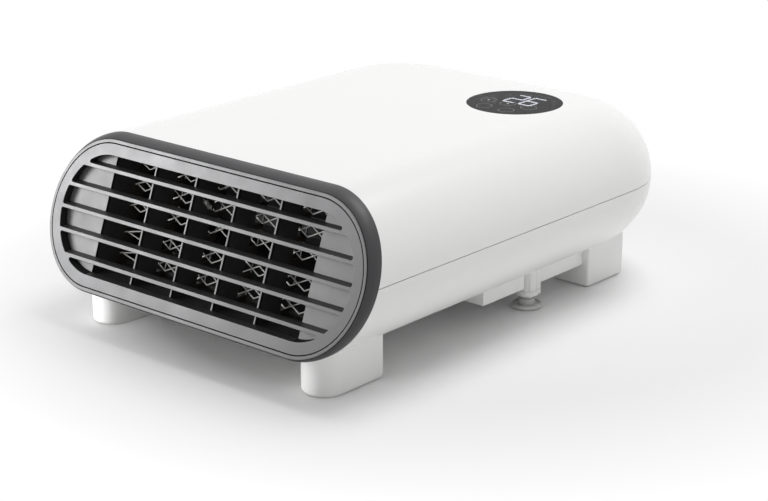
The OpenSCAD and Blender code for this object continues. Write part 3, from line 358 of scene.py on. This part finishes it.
class Tree(Nodes):
    """The nodes of a new material, whose patterns lie on the object's own coordinates."""

    def __init__(self, name):
        self.material = bpy.data.materials.new(name)
        super().__init__(self.material)
        self.shader = self.nodes["Principled BSDF"]
        self.place = self.add("ShaderNodeTexCoord").outputs["Object"]

    def set(self, **inputs):
        """Sets or links the main shader's sockets."""
        for key, value in inputs.items():
            self.put(self.shader, key.replace("_", " "), value)

    def noise(self, scale, detail=3.0, rough=0.5):
        """A soft noise, mostly between 0.3 and 0.7."""
        made = self.add("ShaderNodeTexNoise", Vector=self.place, Scale=scale, Detail=detail, Roughness=rough)
        return made.outputs["Fac"]

    def between(self, value, low, high, start=0.3, end=0.7):
        """Carries a value from the range start to end over to the range low to high."""
        made = self.add("ShaderNodeMapRange", Value=value, From_Min=start, From_Max=end, To_Min=low, To_Max=high)
        return made.outputs["Result"]

    def away(self, point, place=None):
        """Distance from a point, of the object's own coordinates or of another place."""
        made = self.add("ShaderNodeVectorMath", {"operation": "DISTANCE"})
        self.put(made, 0, self.place if place is None else place)
        self.put(made, 1, point)
        return made.outputs["Value"]

    def mixed(self, factor, a, b):
        """Mixes two colours by factor, from a to b."""
        made = self.add("ShaderNodeMix", {"data_type": "RGBA"})
        self.put(made, 0, factor)
        for socket, colour in ((6, a), (7, b)):
            self.put(made, socket, (*colour, 1.0) if isinstance(colour, tuple) else colour)
        return made.outputs[2]

    def soft_edges(self, radius):
        """Normal that turns smoothly over an edge, and a mask that is 1 on edges."""
        soft = self.add("ShaderNodeBevel", {"samples": 4}, Radius=radius).outputs["Normal"]
        flat = self.add("ShaderNodeNewGeometry").outputs["Normal"]
        dot = self.add("ShaderNodeVectorMath", {"operation": "DOT_PRODUCT"})
        self.put(dot, 0, soft)
        self.put(dot, 1, flat)
        mask = self.between(dot.outputs["Value"], 1.0, 0.0, 0.86, 0.99)
        return soft, mask


def moulded(name, colour, rough, grain=0.05, grain_scale=1400.0, mottle=0.03, edge=0.0, metallic=0.0, shine=0.5):
    """Moulded plastic: a fine grain, a slow change of tone and gloss, and paler rubbed edges."""
    t = Tree(name)
    colour = np.array(colour[:])
    slow = t.noise(22.0, 4.0)
    tone = t.mixed(t.between(slow, 0.0, 1.0), tuple(colour * (1 - mottle)),
                   tuple(np.minimum(colour * (1 + mottle), 1)))
    gloss = t.between(t.noise(55.0, 5.0, 0.6), rough * 0.88, min(rough * 1.14, 1.0))
    soft = None
    if edge:
        soft, mask = t.soft_edges(edge)
        rub = t.math("MULTIPLY", mask, t.between(t.noise(160.0, 4.0), 0.0, 0.12))
        tone = t.mixed(rub, tone, tuple(np.minimum(colour * 1.5 + 0.03, 0.95)))
        gloss = t.math("SUBTRACT", gloss, t.math("MULTIPLY", rub, 0.2))
    bump = t.add("ShaderNodeBump", Height=t.noise(grain_scale, 2.0), Strength=grain, Distance=0.0002)
    if soft is not None:
        t.put(bump, "Normal", soft)
    t.set(Base_Color=tone, Roughness=gloss, Metallic=metallic, Normal=bump.outputs["Normal"],
          Specular_IOR_Level=shine)
    return t.material


def metal(name, colour, rough, stain=(0.35, 0.3, 0.26)):
    """Bright metal with an uneven gloss and a little tarnish."""
    t = Tree(name)
    scale = 300.0
    spots = t.between(t.noise(scale, 5.0, 0.65), 0.0, 0.25, 0.45, 0.75)
    tone = t.mixed(spots, colour, stain)
    gloss = t.between(t.noise(scale * 2.5, 3.0), rough * 0.75, rough * 1.3)
    bump = t.add("ShaderNodeBump", Height=t.noise(scale * 6, 2.0), Strength=0.04, Distance=0.0001)
    t.set(Base_Color=tone, Roughness=gloss, Metallic=1.0, Normal=bump.outputs["Normal"])
    return t.material


def flecked_mica(name):
    """Pressed mica: pale brown with darker and silvery flakes."""
    t = Tree(name)
    flakes = t.add("ShaderNodeTexVoronoi", {"feature": "F1"}, Vector=t.place, Scale=700.0)
    dark = t.between(flakes.outputs["Distance"], 0.0, 0.6, 0.2, 0.8)
    tone = t.mixed(dark, (0.05, 0.044, 0.036), (0.025, 0.022, 0.018))
    tone = t.mixed(t.between(t.noise(900.0, 4.0), 0.0, 0.35, 0.55, 0.75), tone, (0.1, 0.095, 0.085))
    bump = t.add("ShaderNodeBump", Height=flakes.outputs["Distance"], Strength=0.15, Distance=0.0002)
    t.set(Base_Color=tone, Roughness=t.between(dark, 0.35, 0.6, 0, 1), Normal=bump.outputs["Normal"])
    return t.material


def capped_fuse(name):
    """Thermal fuse: a dark body with a bright cap at either end, which begins at a set distance from the middle."""
    low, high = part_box("thermal_fuse")
    t = Tree(name)
    cap = t.between(t.away((np.array(low) + np.array(high)) / 2), 0.0, 1.0, 0.0014, 0.0016)
    speck = t.between(t.noise(1500.0), 0.85, 1.0)
    bump = t.add("ShaderNodeBump", Height=t.noise(4000.0), Strength=0.05, Distance=0.0001)
    t.set(Base_Color=t.mixed(cap, (0.05, 0.045, 0.04), (0.8, 0.79, 0.76)), Normal=bump.outputs["Normal"],
          Roughness=t.math("MULTIPLY", speck, t.between(cap, 0.6, 0.35, 0, 1)), Metallic=t.math("MULTIPLY", cap, 0.6))
    return t.material


def dress(material, *names):
    """Gives CAD nodes a finish."""
    for name in names:
        slots = NODES[name].data.materials
        slots.clear()
        slots.append(material)


def shared(name, *args, **settings):
    """A moulding that several pieces share is built once."""
    return bpy.data.materials.get(name) or moulded(name, *args, **settings)


def colours():
    """Colours of the finishes."""
    return bpy.context.scene.heater_finish


def case_white():
    """White of the shells, the wall plate and the feet: the record's own material, one flat colour."""
    return bpy.data.materials["case_white"]


def wall_dark():
    """Dark grey of the faces inside the slots and the cells."""
    return shared("wall_dark", colours().wall_dark, 0.8, grain=0.08, grain_scale=3000.0, mottle=0.08, shine=0.1)


def outlet_grey():
    """Silver grey of the grille and the trim ring."""
    return shared("outlet_grey", colours().outlet_grey, 0.36, grain=0.05, grain_scale=4200.0, mottle=0.02,
                  metallic=0.75)


# One operator for each piece or group of like pieces


class HEATER_OT_bezel(bpy.types.Operator):
    """Dark bezel: a profile carried round the outlet. Its outer rounding is part of an ellipse, from the front edge to
    the case's side, and behind the joint with the shells it steps in to the spigot that they slip over"""

    bl_idname = "heater.bezel"
    bl_label = "Bezel ring"

    def execute(self, context):
        s = outlet()
        big, back = s.radius, 0.015
        # Where the shells begin, and the spigot that they slip over
        joint, spigot = 0.0089, big - 0.0026
        # Round the trim ring, inside the spigot, and the seat behind the trim ring
        lip, bore, seat = s.trim_outer + 0.0001, s.trim_outer - 0.0024, 0.0054
        # How far the outer rounding reaches inward and along the case, and where it ends
        inward, along, end = 0.00225, 0.0064, 0.0070
        start = radians(33)
        t = np.linspace(start, pi / 2, 12)
        shoulder = np.stack([big - inward * (1 - np.sin(t)) / (1 - np.sin(start)),
                             end - along * np.cos(t) / np.cos(start)], 1)
        nose = np.array([[lip, 0.004], [lip, 0.0007]])
        outside = [[big, 0.008], [big, joint], [big - 0.0022, joint], [spigot, joint + 0.0003],
                   [spigot, back - 0.0004], [spigot - 0.0004, back], [bore, back], [bore, seat], [lip, seat]]
        profile = np.concatenate([nose, shoulder, outside])
        finish = moulded("bezel_moulding", colours().bezel_dark, 0.42, grain=0.05, grain_scale=3800.0, mottle=0.05,
                         shine=0.3)
        piece("bezel", [sheet_of(round_bar(profile), True, True)], finish, "case", "bezel_dark", "bezel_ring")
        return {"FINISHED"}


class HEATER_OT_trim(bpy.types.Operator):
    """Light trim ring: a flat front level with the grille, and a ledge behind the grille"""

    bl_idname = "heater.trim"
    bl_label = "Trim ring"

    def execute(self, context):
        s = outlet()
        back = s.grille_depth + 0.0014
        corners = [[s.trim_inner, 0], [s.trim_outer, 0], [s.trim_outer, back], [s.ledge, back],
                   [s.ledge, s.grille_depth], [s.trim_inner, s.grille_depth]]
        profile = rounded(corners, [0.00015, 0.00025, 0.0001, 0.0001, 0.0002, 0.0001], steps=4, edge=0.0001)
        piece("trim", [sheet_of(round_bar(profile), True, True)], outlet_grey(), "case", "trim_grey", "trim_ring",
              walls=wall_dark())
        return {"FINISHED"}


def slot_loop(low, high, radius, corner, arc=26, steps=7, line=10):
    """Outline of one slot in x and z. The slot lies between two level lines and ends on arcs of radius round the
    centres of the grille's ends. Each corner turns on a circle that touches the line and the arc from inside:
    its centre lies one corner radius off the line and radius less corner from the arc's centre."""
    a = outlet().half_straight

    def touch(level, inward):
        z = level + inward * corner
        reach = np.sqrt(max((radius - corner) ** 2 - z ** 2, 0))
        return np.array([reach, z]), np.arctan2(z, reach)

    lower, from_angle = touch(low, 1)
    upper, to_angle = touch(high, -1)
    t0 = np.linspace(-pi / 2, from_angle, steps)
    t1 = np.linspace(to_angle, pi / 2, steps)
    mid = np.linspace(from_angle, to_angle, arc)[1:-1]
    right = np.concatenate([
        lower + corner * np.stack([np.cos(t0), np.sin(t0)], 1),
        radius * np.stack([np.cos(mid), np.sin(mid)], 1),
        upper + corner * np.stack([np.cos(t1), np.sin(t1)], 1)]) + [a, 0]
    run = np.cos(np.linspace(0, pi, line + 2))[1:-1, None]
    top = np.concatenate([right[-1:, :1] * run, np.full((line, 1), high)], 1)
    bottom = np.concatenate([-right[:1, :1] * run, np.full((line, 1), low)], 1)
    return np.concatenate([right, top, (right * [-1, 1])[::-1], bottom])


def opened_plate(rim, outlines, behind):
    """Patches of a plate with openings. rim is the outer profile of (radius, depth). Each outline is a list of
    loops in x and z, one for each depth of behind, which runs from the front to the back."""
    ring = round_bar(rim)
    centre, angle = bar_loop()
    edges = [np.stack([centre + r * np.cos(angle), r * np.sin(angle)], 1) for r in (rim[0][0], rim[-1][0])]
    patches = [sheet_of(ring, True)]
    ends = [[(ring[:, 0], edges[0])], [(ring[:, -1], edges[1])]]
    for loops in outlines:
        flat = np.stack(loops, 1)
        wall = face_point(flat[..., 0], flat[..., 1], behind)
        patches.append(sheet_of(wall, True))
        ends[0].append((wall[:, 0], flat[:, 0]))
        ends[1].append((wall[:, -1], flat[:, -1]))
    return patches + [filled([p for p, _ in side], [f for _, f in side]) for side in ends]


def soft_front(depth, soft, hold):
    """How far an opening is widened at each depth behind the face: a quarter circle of radius soft at the front."""
    t = np.linspace(0, pi / 2, 5)
    swell = np.concatenate([[soft + hold], soft * (1 - np.sin(t)), [0, 0]])
    behind = np.concatenate([[0], soft * (1 - np.cos(t)), [soft + hold, depth]])
    return swell, behind


class HEATER_OT_grille(bpy.types.Operator):
    """Grille: a rim with a deeper block behind it, cut by six slots with slightly rounded front edges"""

    bl_idname = "heater.grille"
    bl_label = "Outlet grille"

    def execute(self, context):
        s = outlet()
        corner, block = 0.001, s.ledge - 0.0002
        swell, behind = soft_front(s.slat_depth, soft=0.0002, hold=0.0001)
        rim = [[s.grille - w, d] for w, d in zip(swell[:-1], behind[:-1])]
        rim += [[s.grille, s.grille_depth], [block, s.grille_depth], [block, s.slat_depth]]
        middle = (s.slats - 1) / 2
        levels = [(i - middle) * s.pitch - s.slat_drop for i in range(s.slats)]
        lows = [-s.slot] + [z + s.slat / 2 for z in levels]
        highs = [z - s.slat / 2 for z in levels] + [s.slot]
        slots = [[slot_loop(low - w, high + w, s.slot + w, corner + w) for w in swell]
                 for low, high in zip(lows, highs)]
        piece("grille", opened_plate(rim, slots, behind), outlet_grey(), "case", "grille_grey", "outlet_grille",
              walls=wall_dark())
        return {"FINISHED"}


class HEATER_OT_mask(bpy.types.Operator):
    """Mask plate behind the grille: a plate with one opening for each air cell, so that fins stay between them"""

    bl_idname = "heater.mask"
    bl_label = "Mask plate"

    def execute(self, context):
        s = outlet()
        front, back = s.slat_depth, s.slat_depth + s.mask_depth
        swell, behind = soft_front(s.mask_depth, soft=0.00015, hold=0.00005)
        bevel = corner = 0.0003
        rim = [[s.mask - bevel, front], [s.mask, front + bevel], [s.mask, back]]
        edges = -s.duct_width / 2 + s.duct_width / s.cells * np.arange(s.cells + 1)
        half = np.full(s.cells + 1, s.fin / 2)
        half[[0, -1]] = 0
        top = s.duct_height / 2
        cells = [[rounded([[x0 - w, -top - w], [x1 + w, -top - w], [x1 + w, top + w], [x0 - w, top + w]],
                          [corner + w] * 4, steps=4) for w in swell]
                 for x0, x1 in zip((edges + half)[:-1], (edges - half)[1:])]
        finish = moulded("mask_grey", colours().mask_grey, 0.45, grain=0.06, grain_scale=3000.0, metallic=0.3)
        piece("mask", opened_plate(rim, cells, front + behind), finish, "case", "frame_grey", "outlet_frame",
              walls=wall_dark())
        return {"FINISHED"}


def wire_path(sign):
    """One wire in x and z: each row zigzags across the duct, and every second row runs back. The corners stand higher
    than the crests by overshoot, because the bends cut them off, and the last one stays clear of the duct's side."""
    w = bpy.context.scene.heater_wires
    overshoot, clear = 1.18, 0.003
    rows = []
    for i, z in enumerate(ROWS):
        first = w.first if i < UPPER_ROWS else w.first_low
        k = np.arange(int((2 * w.duct - first - clear) / w.step) + 1)
        x = -w.duct + first + w.step * k
        up = np.where(k % 2 == 0, 1, -1) * sign * w.height * overshoot
        row = np.concatenate([[[-w.half_width, z], [-w.duct, z]], np.stack([x, z + up], 1),
                              [[w.duct, z], [w.half_width, z]]])
        rows.append(row if i % 2 == 0 else row[::-1])
    return np.concatenate(rows)


def tube(path, radius, depth, sides=8):
    """A round wire along a path of x and z in the leaning plane at depth. Each ring stands square to the path: one
    axis is the plane's own normal and the other is that normal turned across the path."""
    centre = face_point(path[:, 0], path[:, 1], depth)
    along = np.gradient(centre, axis=0)
    along /= np.linalg.norm(along, axis=1)[:, None]
    normal = outlet_normal()
    across = np.cross(along, normal)
    t = np.linspace(0, 2 * pi, sides, endpoint=False)
    rings = centre[:, None] + radius * (np.cos(t)[:, None] * across[:, None] + np.sin(t)[:, None] * normal)
    n = len(path) * sides
    caps = [list(range(sides)), list(range(n - sides, n))]
    points, faces = sheet_of(rings, False, True)
    return points, faces + caps


class HEATER_OT_wires(bpy.types.Operator):
    """Heating wires: two zigzag wires, one behind the other, each one unbroken tube"""

    bl_idname = "heater.wires"
    bl_label = "Heating wires"

    def execute(self, context):
        w = context.scene.heater_wires
        finish = moulded("bright_wire", colours().wire_bright, 0.35, grain=0.1, grain_scale=5000.0, mottle=0.12,
                         metallic=0.1)
        for name, node, sign, depth in (("front_wire", "front_heating_wire", 1, w.depth),
                                        ("rear_wire", "rear_heating_wire", -1, w.depth + w.layer)):
            corners = wire_path(sign)
            bends = np.full(len(corners), 0.0011)
            bends[[0, -1]] = 0
            path = rounded(corners, bends)
            piece(name, [tube(path, w.diameter / 2, depth)], finish, "case", "heating_wire", node)
        return {"FINISHED"}


def tinted_glass(centre):
    """Dark glass: clear but deeply tinted, with printed touch marks, which are rings at a set distance from the
    middle of each key, and a lit dot in the middle of the first two."""
    d = bpy.context.scene.heater_display
    t = Tree("display_glass")
    flat = t.add("ShaderNodeVectorMath", {"operation": "MULTIPLY"})
    t.put(flat, 0, t.place)
    t.put(flat, 1, (1, 1, 0))
    rings, dots = [], []
    for x, y in KEYS:
        away = t.away((centre[0] + x, centre[1] + y, 0), flat.outputs[0])
        off = t.math("ABSOLUTE", t.math("SUBTRACT", away, d.ring))
        rings.append(t.between(off, 1.0, 0.0, 0.00015, 0.00035))
        dots.append(t.between(away, 1.0, 0.0, d.dot * 0.7, d.dot))
    printed, lit = rings[0], t.math("MAXIMUM", dots[0], dots[1])
    for ring in rings[1:]:
        printed = t.math("MAXIMUM", printed, ring)
    faint = t.math("MULTIPLY", printed, 0.6)
    t.set(Base_Color=t.mixed(faint, tuple(colours().glass_dark), (0.5, 0.5, 0.52)),
          Roughness=t.between(t.noise(40.0, 4.0), 0.03, 0.09), IOR=1.08,
          Transmission_Weight=t.math("SUBTRACT", 1.0, faint),
          Emission_Color=(0.95, 0.97, 1.0, 1.0), Emission_Strength=t.math("MULTIPLY", lit, 0.5))
    return t.material


def lit_digits():
    """White light with a faint change of tone."""
    t = Tree("lit_digits")
    tone = t.mixed(t.between(t.noise(2500.0), 0, 1), (0.92, 0.95, 1.0), (1.0, 1.0, 1.0))
    t.set(Base_Color=(0.9, 0.9, 0.9, 1), Emission_Color=tone,
          Emission_Strength=bpy.context.scene.heater_display.glow)
    return t.material


class HEATER_OT_display(bpy.types.Operator):
    """Display glass: a disc with rounded edges, and lit digits under it"""

    bl_idname = "heater.display"
    bl_label = "Display"

    def execute(self, context):
        d = context.scene.heater_display
        low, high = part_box("display_glass")
        centre = (np.array(low) + np.array(high)) / 2
        centre[2] = high[2] - d.thickness
        r, h = d.radius, d.thickness
        profile = rounded([[0, 0], [r, 0], [r, h], [0, h]], [0, 0.0002, 0.00045, 0], edge=0.0002)
        glass = tinted_glass(centre)
        piece("display", [sheet_of(revolved(profile, centre), True)], glass, "case", "glass_dark", "display_glass")
        dress(lit_digits(), "display_digits")
        return {"FINISHED"}


def under_case(x, y):
    """Height of the case's underside: level under the flat part, and rising on a circle where it turns up to the
    sides, the back and the two round corners. The way out from the flat part is the distance in plan, which at a
    corner is measured from a circle of radius major round the corner's middle."""
    s = outlet()
    corner_x, corner_y, major = 0.059, 0.244 + s.front, 0.023
    side = np.abs(x)
    out = np.where(y <= corner_y, np.maximum(side - s.half_straight, 0),
                   np.maximum(np.hypot(np.maximum(side - corner_x, 0), y - corner_y) - major, 0))
    return s.axis - np.sqrt(s.radius ** 2 - np.minimum(out, 0.99 * s.radius) ** 2)


def foot(outline):
    """A foot from the pad's recess over a rounded lower edge up to the case, into which it sinks a little.
    outline(inset) gives the plan outline, and the rounding is a quarter of an ellipse, taller than it is wide."""
    f = bpy.context.scene.heater_feet
    recess, recess_top, taller, hold, sink = 0.00385, 0.0014, 1.6, 0.0003, 0.0003
    t = np.linspace(0, pi / 2, 9)
    inset = np.concatenate([[recess, recess, f.rounding + hold], f.rounding * (1 - np.sin(t))])
    height = np.concatenate([[recess_top, f.proud, f.proud], f.proud + taller * f.rounding * (1 - np.cos(t))])
    rings = np.stack([outline(i) for i in inset] + [outline(0.0)] * 4, 1)
    last = height[-1]
    top = under_case(rings[:, -1, 0], rings[:, -1, 1]) + sink
    rise = last + (top - last)[:, None] * np.array([0.1, 0.5, 0.96, 1.0])
    z = np.concatenate([np.broadcast_to(height, (len(rings), len(height))), rise], 1)
    points = np.concatenate([rings, z[..., None]], -1)
    floor = filled([points[:, 0]], [rings[:, 0]])
    roof = filled([points[:, -1]], [rings[:, -1]])
    return [sheet_of(points, True), floor, roof]


class HEATER_OT_feet(bpy.types.Operator):
    """Feet: two with a round nose at the front, two square ones at the back, each with a soft lower edge"""

    bl_idname = "heater.feet"
    bl_label = "Feet"

    def execute(self, context):
        f = context.scene.heater_feet
        for name, node, width, span, nose in (
                ("front_feet", "front_feet", f.front_width, f.front_length, True),
                ("rear_feet", "rear_feet", f.rear_width, f.rear_length, False)):
            low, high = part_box(node)
            half = width / 2
            places = [(high[0] - half, low[1]), (low[0] + half, low[1])]

            def plan(inset, place, nose=nose, half=half, span=span):
                a, b = half - inset, span - inset
                if nose:
                    t = np.linspace(pi, 2 * pi, 40)
                    bow = np.stack([a * np.cos(t), half + a * np.sin(t)], 1)
                    back = rounded([[a, half], [a, b], [-a, b], [-a, half]], [0, 0.0012, 0.0012, 0], edge=0.0003)
                    mid = np.linspace(0, 1, 8)[1:-1, None]
                    right = bow[-1] + (back[1] - bow[-1]) * mid
                    left = back[-2] + (bow[0] - back[-2]) * mid
                    loop = np.concatenate([bow, right, back[1:-1], left])
                else:
                    loop = rounded([[-a, inset], [a, inset], [a, b], [-a, b]], [0.0016] * 4, steps=6, edge=0.0003)
                    flats = np.linalg.norm(np.roll(loop, -1, 0) - loop, axis=1) > 0.004
                    loop = np.concatenate([np.linspace(p, q, 7)[:-1] if flat else p[None]
                                           for p, q, flat in zip(loop, np.roll(loop, -1, 0), flats)])
                return loop + place

            patches = [p for place in places for p in foot(lambda inset: plan(inset, place))]
            piece(name + "_soft", patches, case_white(), "case", "case_white", node)
        return {"FINISHED"}


class HEATER_OT_case(bpy.types.Operator):
    """Finish of the shells, the wall plate, the pads, the gland and the screws"""

    bl_idname = "heater.case"
    bl_label = "Case finish"

    def execute(self, context):
        dress(case_white(), "upper_shell", "lower_shell", "wall_plate")
        dress(moulded("pad_rubber", (0.045, 0.045, 0.045), 0.75, grain=0.35, grain_scale=1500.0, mottle=0.12),
              "foot_pads")
        dress(moulded("light_plastic", (0.62, 0.62, 0.61), 0.42, grain=0.12, grain_scale=1800.0, edge=0.0003),
              "plunger", "cable_gland", "terminal_block")
        dress(metal("steel", (0.62, 0.62, 0.64), 0.3), "case_screws", "plate_screws", "board_screws",
              "housing_screws", "motor_screws", "plunger_clip", "plunger_spring", "switch_lever", "touch_contacts",
              "blower_shaft")
        return {"FINISHED"}


class HEATER_OT_inside(bpy.types.Operator):
    """Finish of what lies behind the grille and in the case"""

    bl_idname = "heater.inside"
    bl_label = "Inside finish"

    def execute(self, context):
        dress(moulded("duct_black", colours().duct_black, 0.6, grain=0.2, mottle=0.15), "outlet_duct",
              "blower_housing", "air_tongue", "digit_module", "micro_switch")
        dress(flecked_mica("mica"), "mica_frame")
        dress(metal("brass", (0.8, 0.6, 0.3), 0.32, (0.4, 0.28, 0.14)), "element_terminals", "shaft_bushes")
        dress(metal("dark_metal", (0.2, 0.2, 0.22), 0.4), "thermal_cutout")
        dress(capped_fuse("fuse"), "thermal_fuse")
        dress(moulded("wheel_dark", (0.03, 0.03, 0.032), 0.42, grain=0.1), "blower_wheel")
        dress(metal("aluminium", (0.6, 0.6, 0.62), 0.4), "motor_rotor", "motor_brackets")
        dress(metal("core_steel", (0.4, 0.4, 0.42), 0.45), "motor_core")
        dress(metal("copper", (0.8, 0.42, 0.22), 0.3, (0.4, 0.15, 0.06)), "motor_coil")
        dress(moulded("board_green", (0.02, 0.12, 0.05), 0.35, grain=0.15), "power_board", "display_board")
        dress(moulded("relay_blue", (0.03, 0.1, 0.3), 0.3), "relays")
        dress(moulded("capacitor_yellow", (0.6, 0.42, 0.06), 0.3), "capacitors")
        return {"FINISHED"}


def area_light(name, place, aim, size, power):
    """A soft rectangular lamp that looks at aim."""
    lamp = bpy.data.lights.new(name, "AREA")
    lamp.shape = "RECTANGLE"
    lamp.size, lamp.size_y = size
    lamp.energy = power
    made = bpy.data.objects.new(name, lamp)
    made.location = place
    made.rotation_euler = (Vector(aim) - Vector(place)).to_track_quat("-Z", "Y").to_euler()
    bpy.context.scene.collection.objects.link(made)
    return made


class HEATER_OT_stage(bpy.types.Operator):
    """Camera at the photograph's angle, pale floor, white surroundings and soft light"""

    bl_idname = "heater.stage"
    bl_label = "Stage"

    def execute(self, context):
        scene = context.scene
        s = scene.heater_studio
        lens = bpy.data.cameras.new("camera")
        lens.sensor_fit = "HORIZONTAL"
        lens.sensor_width = SENSOR
        lens.sensor_height = SENSOR * PHOTO_HEIGHT / PHOTO_WIDTH
        lens.lens = s.lens
        lens.clip_end = 30
        camera = bpy.data.objects.new("camera", lens)
        right, ahead = CAMERA_RIGHT.normalized(), CAMERA_AHEAD.normalized()
        turn = Matrix((right, right.cross(ahead), -ahead)).transposed().to_4x4()
        camera.matrix_world = Matrix.Translation(CAMERA_PLACE) @ turn @ Matrix.Rotation(CAMERA_ROLL, 4, "Z")
        scene.collection.objects.link(camera)
        scene.camera = camera

        mesh = bpy.data.meshes.new("floor")
        reach = 4
        corners = [(-reach, -reach, 0), (reach, -reach, 0), (reach, reach, 0), (-reach, reach, 0)]
        mesh.from_pydata(corners, [], [(0, 1, 2, 3)])
        floor = bpy.data.objects.new("floor", mesh)
        scene.collection.objects.link(floor)
        t = Tree("floor")
        t.set(Base_Color=(0.93, 0.93, 0.93, 1), Roughness=0.6, Specular_IOR_Level=0.2)
        near, far, middle = 0.195, 0.32, (0.035, 0.05, 0)
        edge = t.between(t.away(middle), 0.0, 1.0, near, far)
        glow = t.add("ShaderNodeEmission", Color=(1, 1, 1, 1), Strength=1.0)
        t.show("Material Output", t.shader.outputs[0], glow.outputs[0], t.math("MULTIPLY", edge, t.seen()))
        mesh.materials.append(t.material)

        world = bpy.data.worlds.new("surroundings")
        scene.world = world
        w = Nodes(world)
        sky = w.nodes["Background"]
        w.put(sky, "Color", (1, 1, 1, 1))
        w.put(sky, "Strength", s.sky)
        white = w.add("ShaderNodeBackground", Color=(1, 1, 1, 1))
        w.show("World Output", sky.outputs[0], white.outputs[0], w.seen())

        area_light("key_light", (0.2, 0.5, 1.5), (0, 0, 0.05), (0.9, 0.9), s.key)
        unlit = bpy.data.collections.new("unlit_from_the_left")
        unlit.objects.link(floor)
        unlit.collection_objects[0].light_linking.link_state = "EXCLUDE"
        for lamp in (
                area_light("side_light", (-0.42, -0.5, 0.2), (-0.02, -0.12, 0.067), (0.25, 0.3), s.side),
                area_light("edge_light", (-0.36, -0.38, 0.17), (-0.09, -0.15, 0.067), (0.12, 0.12), s.side * 0.18)):
            lamp.light_linking.receiver_collection = unlit
        for label, lit, place, aim, power in (
                ("wire_light", ("front_wire", "rear_wire"), (-0.16, -0.6, 0.26), (0, -0.12, 0.067), s.wires),
                ("foot_light", ("front_feet_soft",), (-0.25, -0.34, 0.07), (-0.08, -0.11, 0.02), s.feet)):
            group = bpy.data.collections.new("lit_by_" + label)
            for name in lit:
                group.objects.link(bpy.data.objects[name])
            lamp = area_light(label, place, aim, (0.1, 0.1), power)
            lamp.light_linking.receiver_collection = group
        scene.view_settings.view_transform = "Standard"
        return {"FINISHED"}


class HEATER_PT_panel(bpy.types.Panel):
    """Lists the sizes, the colours and the pieces"""

    bl_label = "Fan heater"
    bl_idname = "HEATER_PT_panel"
    bl_space_type = "VIEW_3D"
    bl_region_type = "UI"
    bl_category = "Heater"

    def draw(self, context):
        for name in SETTINGS:
            group = getattr(context.scene, name)
            box = self.layout.box()
            for key in group.__annotations__:
                box.prop(group, key)
        for step in STEPS:
            self.layout.operator(step.bl_idname)


SETTINGS = {
    "heater_outlet": OutletSettings,
    "heater_wires": WireSettings,
    "heater_display": DisplaySettings,
    "heater_feet": FootSettings,
    "heater_finish": FinishSettings,
    "heater_studio": StudioSettings,
}
STEPS = (
    HEATER_OT_case, HEATER_OT_inside, HEATER_OT_bezel, HEATER_OT_trim, HEATER_OT_grille, HEATER_OT_mask,
    HEATER_OT_wires, HEATER_OT_display, HEATER_OT_feet, HEATER_OT_stage,
)


def register():
    """Makes the settings, the operators and the panel known to Blender."""
    for group in SETTINGS.values():
        bpy.utils.register_class(group)
    for name, group in SETTINGS.items():
        setattr(bpy.types.Scene, name, PointerProperty(type=group))
    for step in STEPS:
        bpy.utils.register_class(step)
    bpy.utils.register_class(HEATER_PT_panel)


def unregister():
    """Takes back what register did."""
    bpy.utils.unregister_class(HEATER_PT_panel)
    for step in reversed(STEPS):
        bpy.utils.unregister_class(step)
    for name in SETTINGS:
        delattr(bpy.types.Scene, name)
    for group in reversed(SETTINGS.values()):
        bpy.utils.unregister_class(group)


def main():
    """Registers the add-on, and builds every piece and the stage."""
    register()
    for step in STEPS:
        group, name = step.bl_idname.split(".")
        getattr(getattr(bpy.ops, group), name)()


if __name__ == "__main__":
    main()
